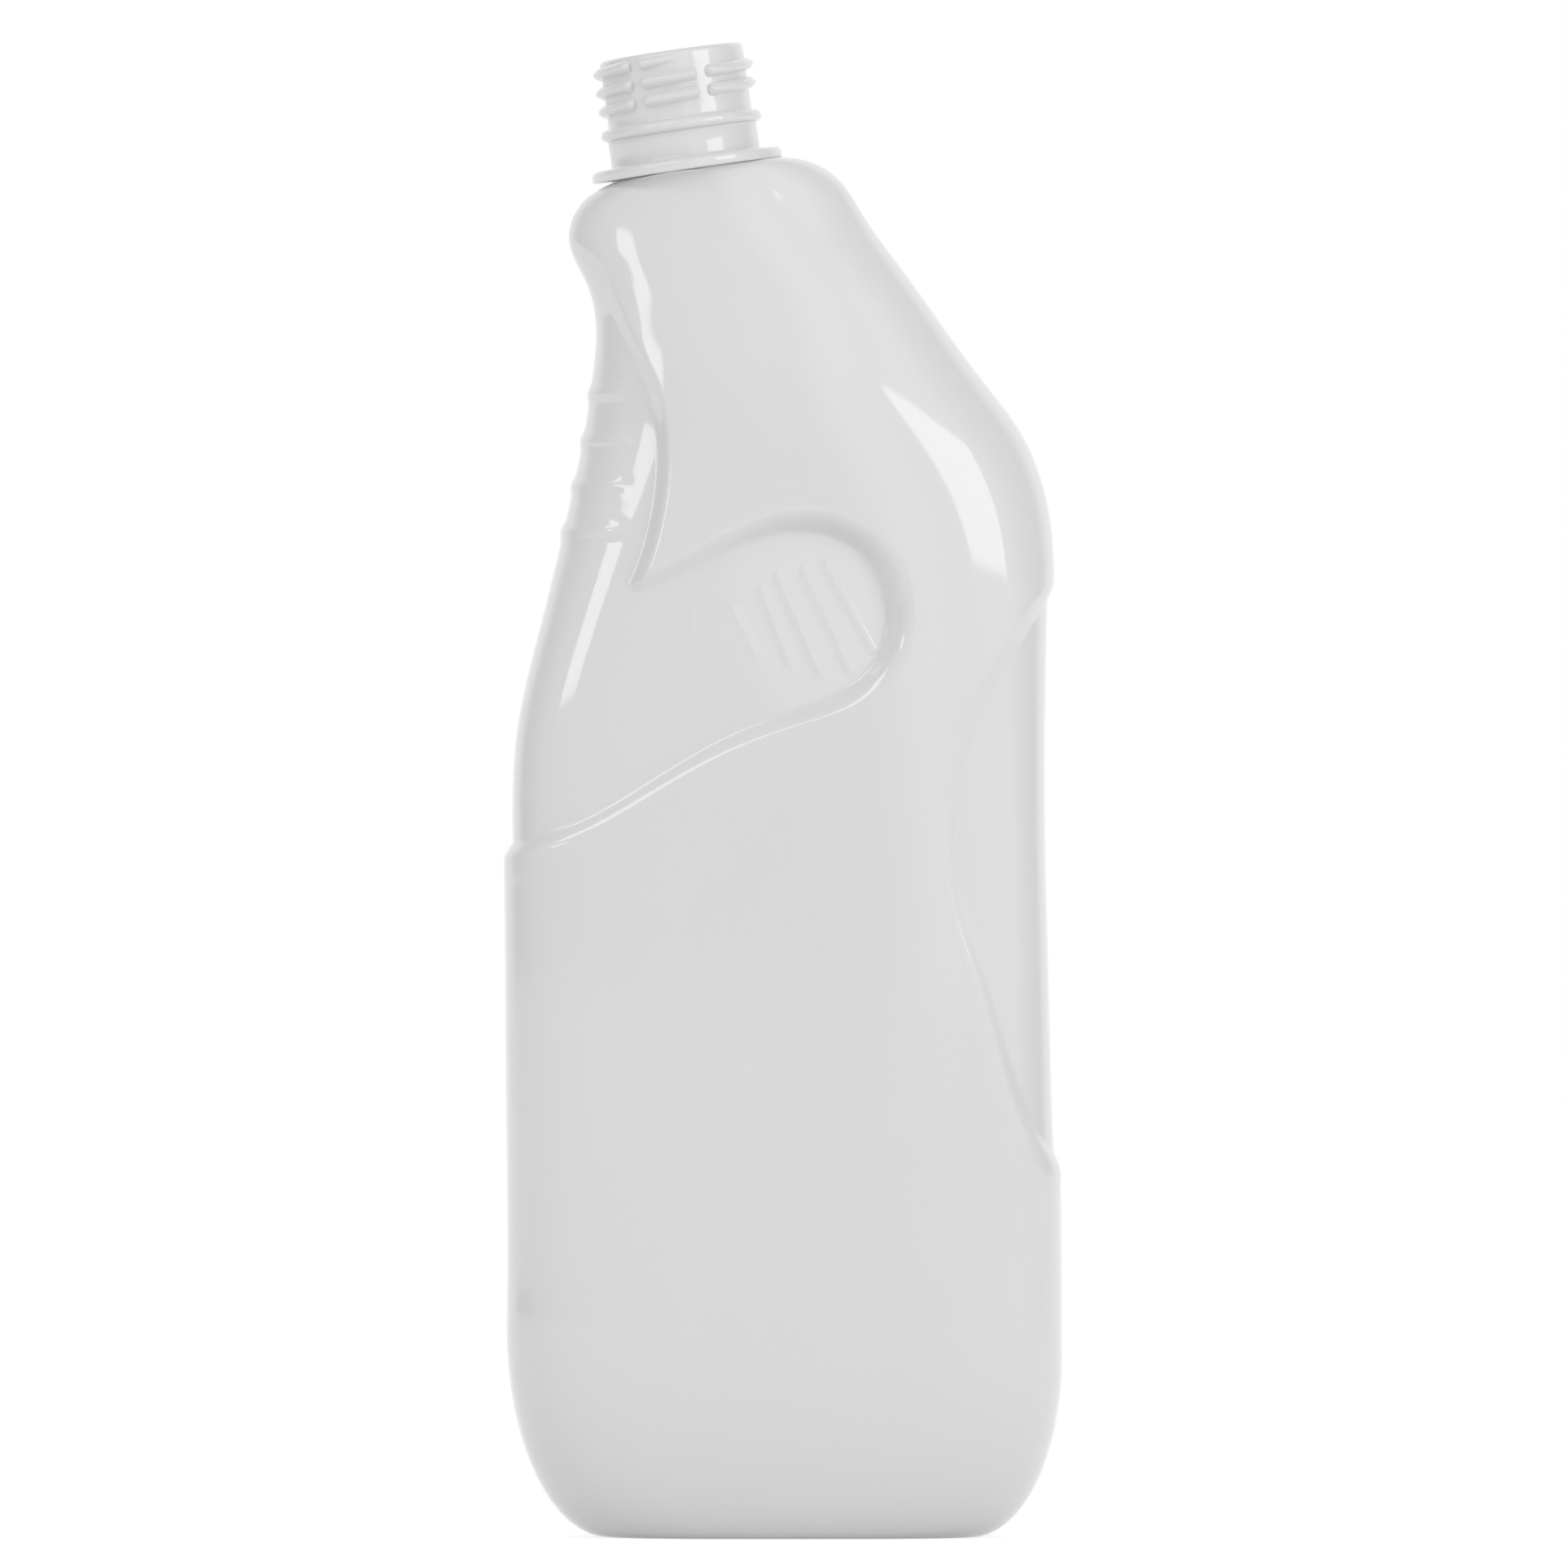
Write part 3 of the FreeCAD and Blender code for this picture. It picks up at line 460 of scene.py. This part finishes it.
COLUMNS, GIRTH_STEPS, CLOSER, CLOSER_SIXTHS = 124, 720, 0.5, 4.0
girth = loft_point(np.linspace(-math.pi, math.pi, GIRTH_STEPS + 1), np.full(GIRTH_STEPS + 1, stops[3]))
middles = (girth[1:, 0] + girth[:-1, 0]) / 2
sixths = (middles - FRONT) / (BACK - FRONT) * 6
fineness = 1 + CLOSER * (1 - smooth(sixths - CLOSER_SIXTHS))
column_places = shared_out(np.linalg.norm(np.diff(girth, axis=0), axis=1) * fineness, COLUMNS + 1)
column_turn = -math.pi + column_places * (2 * math.pi / GIRTH_STEPS)
spacing = np.linalg.norm(np.diff(loft_point(column_turn, np.full(COLUMNS + 1, stops[3])), axis=0), axis=1)
print("columns are", round(float(spacing.min()), 2), "to", round(float(spacing.max()), 2), "mm apart")

# %% Rows, at a coarse spacing on the panels and a fine one in the hand zone and under the neck
UP_STEPS, COARSE_ROW, FINE_ROW, HEEL_ROWS, FLOOR_ROWS = 400, 4.2, 1.35, 16, 12
# Where the rows change, over how many millimetres, and how much finer or coarser they get there
HAND_EARLY, HAND_BLEND = 1.2, 12
NOSE_HEIGHT, NOSE_BLEND, NOSE_COARSER = 216, 8, 0.35
NECK_ZONE, NECK_BLEND = 22, 10
PALM_LOW, PALM_BLEND, PALM_FINER = 58, 10, 0.25

ups = np.linspace(0, LENGTH, UP_STEPS + 1)
heights = front_line(ups)[:, 1]
fine_hand = smooth((heights - PANEL_HEIGHT) / HAND_BLEND + HAND_EARLY)
fine_hand *= 1 - NOSE_COARSER * smooth((heights - NOSE_HEIGHT) / NOSE_BLEND)
fine_neck = smooth((ups - LENGTH + NECK_ZONE) / NECK_BLEND)
fine_palm = smooth((heights - PALM_LOW) / PALM_BLEND) * PALM_FINER
finest = np.maximum(np.maximum(fine_hand, fine_neck), fine_palm)
row_weight = (1 / COARSE_ROW + (1 / FINE_ROW - 1 / COARSE_ROW) * finest)[:-1] * LENGTH / UP_STEPS
up_rows = shared_out(row_weight, round(row_weight.sum())) * LENGTH / UP_STEPS
heel_rows = -math.pi / 2 * (1 - np.arange(HEEL_ROWS) / HEEL_ROWS)
floor_rows = np.linspace(0, 1, FLOOR_ROWS)[:-1]

FLOOR, SKIN, NECK, INNER, INNER_FLOOR = range(5)
rows = [(FLOOR, share) for share in floor_rows] + [(SKIN, place) for place in (*heel_rows, *up_rows)]
rows += [(NECK, station) for station in range(len(outline))]
rows += [(INNER, place) for place in reversed((*heel_rows[::2], *up_rows))]
rows += [(INNER_FLOOR, share) for share in reversed(floor_rows[::2])]
row_kind, row_value = np.array([k for k, _ in rows]), np.array([v for _, v in rows], float)
print("sheet of", COLUMNS, "columns and", len(rows), "rows")

# %% Where a place of the flat sheet goes
# A place that is read back from the mesh may lie a hair off its row
HAIR, ON_A_ROW = 1e-4, 1e-3


def sheet_values(co):
    """Turn, kind of row and place along it, for points of the flat sheet."""
    turn = np.interp(co[:, 0], np.arange(COLUMNS + 1), column_turn)
    row = np.clip(co[:, 1], 0, len(rows) - 1)
    i = np.minimum(np.floor(row + HAIR).astype(int), len(rows) - 1)
    j = np.minimum(i + 1, len(rows) - 1)
    part = np.where((row - i > ON_A_ROW) & (row_kind[i] == row_kind[j]), row - i, 0)
    return turn, row_kind[i], row_value[i] + (row_value[j] - row_value[i]) * part


GATE_MARK, GATE_MARK_RADIUS, GATE_MARK_EDGE = 0.5, 1.6, 1.5
DOME_FLAT = 0.06


def floor_place(turn, share, lift):
    """The push-up under the bottle, from the gate mark at its middle out to the ring that it stands on."""
    front, back, *_ = sections(np.full(turn.shape, -math.pi / 2))
    half = (back[:, 0] - front[:, 0]) / 2
    rim = loft_point(turn, np.full(turn.shape, -math.pi / 2))
    middle = np.stack([(front[:, 0] + back[:, 0]) / 2, 0 * half, 0 * half], axis=-1)
    size = share * (1 - STANDING_RING / half)
    point = middle + (rim - middle) * size[:, None]
    dome = (1 + np.cos(math.pi * np.clip(share * (1 + DOME_FLAT) - DOME_FLAT, 0, 1))) / 2
    point[:, 2] = PUSH_UP * dome + lift
    mark = GATE_MARK * smooth(GATE_MARK_EDGE - np.hypot(*(point - middle)[:, :2].T) / GATE_MARK_RADIUS)
    point[:, 2] -= np.where(lift > 0, 0, mark)
    return point


def wrapped(co):
    """Places on the bottle, in millimetres, for points of the flat sheet."""
    turn, kind, value = sheet_values(co)
    place = np.zeros((len(co), 3))
    for k, rule in ((FLOOR, lambda t, v: floor_place(t, v / floor_rows[-1], 0)),
                    (SKIN, lambda t, v: skin_point(t, v, 0)),
                    (NECK, neck_place),
                    (INNER, lambda t, v: skin_point(t, v, WALL)),
                    (INNER_FLOOR, lambda t, v: floor_place(t, v / floor_rows[-1], WALL))):
        chosen = kind == k
        place[chosen] = rule(turn[chosen], value[chosen])
    return place


# %% A flat grid
def active():
    return bpy.context.view_layer.objects.active


def edit(action):
    """Into edit mode, with everything selected or nothing."""
    bpy.ops.object.mode_set(mode="EDIT")
    bpy.ops.mesh.select_all(action=action)


def coordinates(mesh):
    co = np.zeros(len(mesh.vertices) * 3, np.float32)
    mesh.vertices.foreach_get("co", co)
    return co.reshape(-1, 3).astype(float)


def set_coordinates(mesh, co):
    mesh.vertices.foreach_set("co", np.asarray(co, np.float32).ravel())
    mesh.update()


def start_flat(columns, count):
    """A flat grid with whole-number corners."""
    bpy.ops.object.select_all(action="DESELECT")
    bpy.ops.mesh.primitive_grid_add(x_subdivisions=columns, y_subdivisions=count, size=1)
    mesh = active().data
    co = coordinates(mesh)
    co[:, 0] = (co[:, 0] + 0.5) * columns
    co[:, 1] = (co[:, 1] + 0.5) * count
    set_coordinates(mesh, co)
    return active()


shell = start_flat(COLUMNS, len(rows) - 1)
shell.name = "bottle_shell"
print("flat sheet:", len(shell.data.polygons), "squares")


# %% Finer squares where the form is fine
def face_places(obj):
    """Place on the plain loft of each square of the outer skin, and whether it is one."""
    mesh = obj.data
    centres = np.zeros(len(mesh.polygons) * 3, np.float32)
    mesh.polygons.foreach_get("center", centres)
    turn, kind, value = sheet_values(centres.reshape(-1, 3).astype(float))
    return loft_point(turn, np.where(kind == SKIN, value, 0)), (kind == SKIN) & (value > 0)


def subdivide_where(obj, wanted):
    """Cuts each wanted face into four."""
    bpy.context.tool_settings.mesh_select_mode = (False, False, True)
    edit("DESELECT")
    bm = bmesh.from_edit_mesh(obj.data)
    bm.faces.ensure_lookup_table()
    for index in np.nonzero(wanted)[0]:
        bm.faces[int(index)].select_set(True)
    bmesh.update_edit_mesh(obj.data)
    bpy.ops.mesh.subdivide(number_cuts=1, ngon=False)
    bpy.ops.object.mode_set(mode="OBJECT")


def step_nearness(x, z):
    """How far a place is from the slope of the hand zone's step and from that of the palm hollow's."""
    width = STEP_WIDTH + THUMB_WALL * thumb_share(x, z)
    away, from_palm = distance_outside(hand_zone, x, z), distance_outside(palm_zone, x, z)
    return np.maximum(-away, away - width), np.maximum(-from_palm, from_palm - PALM_WIDTH)


# Each round: how near to the hand zone's step and to the palm's, and the ridges' lowest and highest share of height
ROUNDS = [(3.0, 3.6, 0.40, 0.75), (0.9, 0.6, 0.43, 0.73)]
STEP_LOWEST, STEP_HIGHEST = -0.06, 0.99
RIDGE_END, RIB_NEAR = FINGER_REACH + FINGER_FADE + 6, RIB_WIDTH * 1.3

for hand_reach, palm_reach, ridge_low, ridge_high in ROUNDS:
    at, on_skin = face_places(shell)
    x, z = at[:, 0], at[:, 2]
    share = (z - PANEL_HEIGHT) / HAND_HEIGHT
    by_hand, by_palm = step_nearness(x, z)
    near = (by_hand < hand_reach) & (share > STEP_LOWEST) & (share < STEP_HIGHEST)
    near |= by_palm < palm_reach
    near |= (share > ridge_low) & (share < ridge_high) & (x - FRONT < RIDGE_END)
    near |= rib_distance(x, z) < RIB_NEAR
    subdivide_where(shell, near & on_skin)
    print("after subdividing:", len(shell.data.polygons), "faces")

# %% Wrap the sheet on the form and close its seams
SAME_PLACE = 0.01 * MM
set_coordinates(shell.data, wrapped(coordinates(shell.data)) * MM)
edit("SELECT")
bpy.ops.mesh.remove_doubles(threshold=SAME_PLACE)
bpy.ops.mesh.normals_make_consistent(inside=False)
bpy.ops.object.mode_set(mode="OBJECT")


def open_edges(obj):
    """How many edges don't join two faces, and the volume in cubic millimetres."""
    bm = bmesh.new()
    bm.from_mesh(obj.data)
    count = sum(1 for e in bm.edges if len(e.link_faces) != 2)
    volume = bm.calc_volume(signed=True) / MM ** 3
    bm.free()
    return count, volume


print("open edges and plastic in cubic millimetres:", open_edges(shell))

# %% [markdown]
# ## The thread
# The thread is one ridge that climbs round the neck, crossed by four upright slots that let the air out. Each
# stretch between two slots is a ridge of its own with rounded ends. It could be a curve with a bevel profile, but
# its ends would then be cut off square. So it is drawn as a small circle and swept round by a Screw modifier, and
# its points are then raised along the climb, thinned out at the ends and pinched towards the crest, which is how a
# turned thread looks once its corners are rounded. Its foot is sunk a little in the neck, as the two are one moulding.

# %% Sizes of the thread, with angles in degrees round the neck from the back
THREAD_RADIUS, THREAD_PITCH, THREAD_WIDTH, THREAD_SINK = 13.85, 3.25, 2.3, 0.35
THREAD_LOW, THREAD_START, THREAD_END = 10.8, 121.0, 995.0
SLOTS, SLOT_WIDTH = (68.0, 121.0, 239.0, 292.0), 1.9
# A stretch is full this far from its end, and the thread's last turn fades over an angle and to a share of its size
END_ROUND, RUN_OUT, RUN_OUT_LEFT, END_FULLNESS, END_HEIGHT, END_SINK = 0.9, 36.0, 0.12, 0.02, 0.4, 0.04
CREST_PINCH, RIDGE_SIDES, RIDGE_STEPS = 0.3, 16, 32
slot_half = math.degrees(SLOT_WIDTH / 2 / THREAD_RADIUS)

crossings = [turn + slot for turn in (0, 360, 720) for slot in SLOTS if THREAD_START <= turn + slot < THREAD_END]
starts = [crossing + slot_half for crossing in crossings]
ends = [crossing - slot_half for crossing in crossings[1:]] + [THREAD_END]
stretches = list(zip(starts, ends))
print(len(stretches), "stretches of thread")


# %% A circle swept round
def swept_circle(degrees):
    """A circle beside the upright axis, swept round it, with its two ends closed."""
    bpy.ops.object.select_all(action="DESELECT")
    bpy.ops.mesh.primitive_circle_add(vertices=RIDGE_SIDES, radius=1)
    ridge = active()
    edit("SELECT")
    bpy.ops.transform.rotate(value=math.pi / 2, orient_axis="X", center_override=(0, 0, 0))
    bpy.ops.transform.translate(value=(NECK_RADIUS, 0, 0))
    bpy.ops.object.mode_set(mode="OBJECT")
    screw = ridge.modifiers.new("sweep", "SCREW")
    screw.axis, screw.angle, screw.screw_offset = "Z", math.radians(degrees), 0
    screw.steps = screw.render_steps = RIDGE_STEPS
    bpy.ops.object.modifier_apply(modifier="sweep")
    edit("DESELECT")
    bpy.context.tool_settings.mesh_select_mode = (False, True, False)
    bpy.ops.mesh.select_non_manifold(extend=False, use_boundary=True)
    bpy.ops.mesh.edge_face_add()
    bpy.ops.object.mode_set(mode="OBJECT")
    return ridge


# %% Its points raised along the climb
def thread_places(co, first, last):
    """Places on the bottle, in millimetres, for the points of a swept circle."""
    sweep = math.radians(last - first)
    turned = np.arctan2(co[:, 1], co[:, 0]) / sweep
    turned = (1 - np.cos(math.pi * np.clip(turned, 0, 1))) / 2
    angle = np.radians(first + (last - first) * turned)
    out, up = np.hypot(co[:, 0], co[:, 1]) - NECK_RADIUS, co[:, 2]
    from_end = np.minimum(turned, 1 - turned) * sweep * THREAD_RADIUS
    fullness = np.sqrt(1 - (1 - np.clip(from_end / END_ROUND, 0, 1)) ** 2)
    fullness *= smooth((THREAD_END - np.degrees(angle)) / RUN_OUT + RUN_OUT_LEFT)
    fullness = np.maximum(fullness, END_FULLNESS)
    r = NECK_RADIUS + np.where(out > 0, out * (THREAD_RADIUS - NECK_RADIUS), out * THREAD_SINK) * fullness
    r -= END_SINK * (1 - fullness)
    h = THREAD_LOW + THREAD_PITCH * (np.degrees(angle) - THREAD_START) / 360
    pinch = 1 - CREST_PINCH * np.maximum(out, 0)
    h += up * THREAD_WIDTH / 2 * pinch * (END_HEIGHT + (1 - END_HEIGHT) * fullness)
    place = NECK_CENTRE + NECK_ACROSS * (r * np.cos(angle))[:, None] + NECK_AXIS * h[:, None]
    place[:, 1] += r * np.sin(angle)
    return place


# %% All stretches, joined to the neck
ridges = []
for first, last in stretches:
    ridge = swept_circle(last - first)
    set_coordinates(ridge.data, thread_places(coordinates(ridge.data), first, last) * MM)
    edit("SELECT")
    bpy.ops.mesh.normals_make_consistent(inside=False)
    bpy.ops.object.mode_set(mode="OBJECT")
    ridges.append(ridge)
print("first stretch: open edges and volume", open_edges(ridges[0]))

SMOOTH_BELOW = math.radians(50)
bpy.ops.object.select_all(action="DESELECT")
for ridge in ridges:
    ridge.select_set(True)
shell.select_set(True)
bpy.context.view_layer.objects.active = shell
bpy.ops.object.join()
bpy.ops.object.shade_smooth_by_angle(angle=SMOOTH_BELOW)
print("the bottle has", sum(len(f.vertices) - 2 for f in shell.data.polygons), "triangles")

# %% [markdown]
# ## White polyester
# The plastic is opaque white and glossy. A blown skin is never quite flat, so its reflections waver a little, and
# the moulded neck is smoother. A used bottle has a few dark specks of dust and some fine rubs. All of it could be
# painted on an unwrapped skin, but is made with nodes on Object coordinates, so that it has no seam and the pattern
# stays on the bottle wherever it is seen from.

# %% Shader maths as expressions
class Wire:
    """A socket that can be added, multiplied and so on, with another one or with a plain number."""

    def __init__(self, tree, socket):
        self.tree, self.socket = tree, socket

    def node(self, kind, settings=None, output=0, **inputs):
        """Any node, with its settings set first and then its inputs, by name or as in0, in1 and so on."""
        node = self.tree.nodes.new(kind)
        for name, value in (settings or {}).items():
            setattr(node, name, value)
        for name, value in inputs.items():
            key = int(name[2:]) if name[:2] == "in" and name[2:].isdigit() else name.replace("_", " ")
            socket = node.inputs[key]
            if isinstance(value, Wire):
                self.tree.links.new(value.socket, socket)
            else:
                socket.default_value = value
        return Wire(self.tree, node.outputs[output])

    def math(self, operation, *values):
        """A Math node of all the given values. This wire is one of them only where it is given."""
        inputs = {f"in{i}": value for i, value in enumerate(values)}
        return self.node("ShaderNodeMath", {"operation": operation}, **inputs)

    def __add__(self, other):
        return self.math("ADD", self, other)

    def __sub__(self, other):
        return self.math("SUBTRACT", self, other)

    def __rsub__(self, other):
        return self.math("SUBTRACT", other, self)

    def __mul__(self, other):
        return self.math("MULTIPLY", self, other)

    __radd__, __rmul__ = __add__, __mul__

    def over(self, first, last):
        """0 at first and below, 1 at last and above, evenly between."""
        return self.node("ShaderNodeMapRange", {"clamp": True}, Value=self, From_Min=first, From_Max=last)

    def mixed(self, first, second):
        """One colour to another, by this share."""
        first, second = (value if isinstance(value, Wire) else (*value, 1) for value in (first, second))
        return self.node("ShaderNodeMix", {"data_type": "RGBA"}, output=2, in0=self, in6=first, in7=second)

    def noise(self, scale, detail=2.0):
        """Soft random patches of about 1 / scale metres at this place."""
        return self.node("ShaderNodeTexNoise", Vector=self, Scale=scale, Detail=detail, Roughness=0.5, Distortion=0.0)

    def parts(self):
        """X, Y and Z of this place or direction."""
        node = self.node("ShaderNodeSeparateXYZ", in0=self).socket.node
        return [Wire(self.tree, socket) for socket in node.outputs]


def new_material(name):
    material = bpy.data.materials.new(name)
    material.use_nodes = True
    return material, material.node_tree, material.node_tree.nodes["Principled BSDF"]


# %% The skin's unevenness, in metres
WAVE_DEPTH, RIPPLE_DEPTH, PEEL_DEPTH, NECK_SHARE = 0.00008, 0.000006, 0.0000006, 0.15
NECK_FROM, NECK_TO = 0.232, 0.236
PARTING_FLAT, PARTING_END, PARTING_RISE = 0.00005, 0.00022, 0.00004

plastic, tree, shader = new_material("white_polyester")
place = Wire(tree, tree.nodes.new("ShaderNodeTexCoord").outputs["Object"])
x_wire, y_wire, z_wire = place.parts()
blown = 1 - (z_wire + x_wire * math.tan(NECK_TILT)).over(NECK_FROM, NECK_TO)
waves = place.noise(34.0) * WAVE_DEPTH + place.noise(150.0) * RIPPLE_DEPTH
orange_peel = place.noise(1500.0, 1.0) * PEEL_DEPTH
height = waves * (NECK_SHARE + (1 - NECK_SHARE) * blown) + orange_peel
parting = 1 - y_wire.math("ABSOLUTE", y_wire).over(PARTING_FLAT, PARTING_END)
height = height + parting * PARTING_RISE
bump = place.node("ShaderNodeBump", Height=height, Strength=1.0, Distance=1.0)
tree.links.new(bump.socket, shader.inputs["Normal"])
print("unevenness made of", len(tree.nodes), "nodes")

# %% Its colour and gloss, with fine upright rubs and a few specks
WHITE, PALER_WHITE = (0.775, 0.775, 0.776), (0.80, 0.80, 0.801)
RUBBED, RUB_TINT, DUST, SPECK_TINT = (0.70, 0.70, 0.70), 0.25, (0.12, 0.11, 0.10), 0.8
LOWEST_ROUGHNESS, ROUGHNESS_SPREAD, RUB_ROUGHNESS = 0.06, 0.03, 0.15
POLYESTER_IOR = 1.57

# A rub shows where a streak crosses a worn patch, and a speck is the middle of a grain in a dusty patch
streaks = place.node("ShaderNodeMapping", Vector=place, Scale=(900.0, 900.0, 70.0)).noise(1.0)
rubs = streaks.over(0.66, 0.74) * place.noise(60.0, 3.0).over(0.55, 0.68)
grains = place.node("ShaderNodeTexVoronoi", {"feature": "F1"}, Vector=place, Scale=160.0)
specks = (1 - grains.over(0.020, 0.036)) * place.noise(90.0, 1.0).over(0.67, 0.69)
white = place.noise(22.0, 3.0).mixed(WHITE, PALER_WHITE)
white = (rubs * RUB_TINT).mixed(white, RUBBED)
colour = (specks * SPECK_TINT).mixed(white, DUST)
roughness = LOWEST_ROUGHNESS + ROUGHNESS_SPREAD * place.noise(45.0) + rubs * RUB_ROUGHNESS
tree.links.new(colour.socket, shader.inputs["Base Color"])
tree.links.new(roughness.socket, shader.inputs["Roughness"])
shader.inputs["IOR"].default_value = POLYESTER_IOR
print("plastic made of", len(tree.nodes), "nodes")

# %% [markdown]
# ## The bottle's place in the model
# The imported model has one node, the bottle, and the shell is that same piece with its finish. It could be laid over
# the node, but two skins in one place would flicker, so it replaces the node, and it rides on the same body.

# %% The bottle takes the CAD node's place
shell.data.materials.clear()
shell.data.materials.append(plastic)
for face in shell.data.polygons:
    face.material_index = 0
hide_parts("bottle")
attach(shell, "root")
print("the shell replaces the bottle, with", len(shell.data.polygons), "faces")

# %% [markdown]
# ## The studio
# White plastic on white is shown by what it mirrors, so the room round it is not evenly bright: it is bright behind
# the bottle and at the far right, plain in front and dark to the sides, which draws the rim and the steps in grey
# lines. The walls could be real panels, but then they would stand in the way of other views, so they are painted on
# the world by direction. Three windows of light, one at the right, one at the left and one higher up at the left,
# show as pale shapes on the rounded shoulders, on the finger grip and along the panel's step.

# %% Floor
FLOOR_SIZE, PAPER, GLOW, GLOW_SHARE = 12.0, (0.85, 0.85, 0.85, 1), 1.15, 0.75


def rays(tree):
    """Whether a ray is the camera's own, and whether it was mirrored or came through something clear."""
    node = tree.nodes.new("ShaderNodeLightPath")
    seen, glossy, clear = (Wire(tree, node.outputs[f"Is {kind} Ray"]) for kind in ("Camera", "Glossy", "Transmission"))
    return seen, glossy + clear


bpy.ops.object.select_all(action="DESELECT")
bpy.ops.mesh.primitive_plane_add(size=FLOOR_SIZE)
floor = active()
floor.name = "studio_floor"
floor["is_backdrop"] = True
paper, tree, shader = new_material("white_paper")
seen, mirrored = rays(tree)
plain = seen.node("ShaderNodeBsdfDiffuse", Color=PAPER)
glow = seen.node("ShaderNodeEmission", Color=(1, 1, 1, 1), Strength=GLOW)
share = seen.math("MINIMUM", seen + mirrored, 1.0) * GLOW_SHARE
mixed = seen.node("ShaderNodeMixShader", in0=share, in1=plain, in2=glow)
tree.links.new(mixed.socket, tree.nodes["Material Output"].inputs["Surface"])
floor.data.materials.append(paper)
print("floor of", FLOOR_SIZE, "metres")

# %% World
world = bpy.data.worlds.new("studio")
bpy.context.scene.world = world
world.use_nodes = True
tree = world.node_tree
background = tree.nodes["Background"]
seen, mirrored = rays(tree)
mirrored = mirrored.math("MINIMUM", mirrored, 1.0)
across, behind, _ = Wire(tree, tree.nodes.new("ShaderNodeTexCoord").outputs["Generated"]).parts()

# The walls of the room, each 1 inside itself and 0 outside
back_half, back_wall, front_wall = behind.over(-0.25, 0.45), behind.over(0.45, 0.75), behind.over(0.10, -0.30)
right_wall = across.over(0.30, 0.55) * behind.over(-0.20, -0.45)
right_front = across.over(0.04, 0.16) * across.over(0.45, 0.30) * behind.over(-0.40, -0.70)
# How bright they light the bottle, and how bright they look in its gloss
level = 0.55 + 0.02 * across + 0.35 * back_half + 0.32 * right_wall
backdrop = 0.10 + 0.90 * back_wall + 0.50 * front_wall + 0.60 * right_wall + 0.70 * right_front
level = level + (backdrop - level) * mirrored
level = level + (1 - level) * seen
tree.links.new(level.socket, background.inputs["Strength"])
background.inputs["Color"].default_value = (1, 1, 1, 1)
print("world made of", len(tree.nodes), "nodes")


# %% Lamps
BOTTLE_MIDDLE = Vector((0, 0, 0.13))


def softbox(name, azimuth, height, distance, width, tall, power):
    """A soft rectangular lamp, at an angle round the bottle from the camera's side, towards the right."""
    a = math.radians(azimuth)
    at = Vector((math.sin(a) * distance, -math.cos(a) * distance, height))
    data = bpy.data.lights.new(name, "AREA")
    data.shape, data.size, data.size_y, data.energy = "RECTANGLE", width, tall, power
    lamp = bpy.data.objects.new(name, data)
    lamp.matrix_world = Matrix.Translation(at) @ (at - BOTTLE_MIDDLE).to_track_quat("Z", "Y").to_matrix().to_4x4()
    bpy.context.scene.collection.objects.link(lamp)
    print(name, "of", power, "watts")


softbox("right_window", azimuth=47.5, height=0.775, distance=1.6, width=0.80, tall=0.70, power=5.0)
softbox("left_window", azimuth=-50, height=0.652, distance=1.6, width=0.38, tall=0.21, power=0.87)
softbox("upper_window", azimuth=-42, height=1.53, distance=1.45, width=1.48, tall=0.42, power=5.9)

# %% [markdown]
# ## The camera
# The bottle is looked at straight on to its broad side, from far away with a long lens. An orthographic camera would
# be straight on too, but a long lens still shows a little of the roundness of the neck, as the eye does.

# %% Camera
VIEW_WIDTH, VIEW_DISTANCE, VIEW_ACROSS, VIEW_HEIGHT = 0.27048, 4.5, 0.0002, 0.1298
camera_data = bpy.data.cameras.new("camera")
camera = bpy.data.objects.new("camera", camera_data)
bpy.context.scene.collection.objects.link(camera)
bpy.context.scene.camera = camera
camera_data.sensor_width = 36.0
camera_data.lens = camera_data.sensor_width * VIEW_DISTANCE / VIEW_WIDTH
camera_data.clip_end = 50
camera.location = (VIEW_ACROSS, -VIEW_DISTANCE, VIEW_HEIGHT)
camera.rotation_euler = (math.pi / 2, 0, 0)
bpy.context.scene.view_settings.view_transform = "Standard"
print("lens of", round(camera_data.lens), "mm")

# %% [markdown]
# ## The size, once more
# The shell is drawn anew and not copied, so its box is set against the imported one. They agree to about 0.1 mm.

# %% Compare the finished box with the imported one
visual_box = [list(corner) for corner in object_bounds()]
for name, box in (("packed", cad_box), ("finished", visual_box)):
    print(name, "box:", [[round(v / MM, 2) for v in corner] for corner in box])
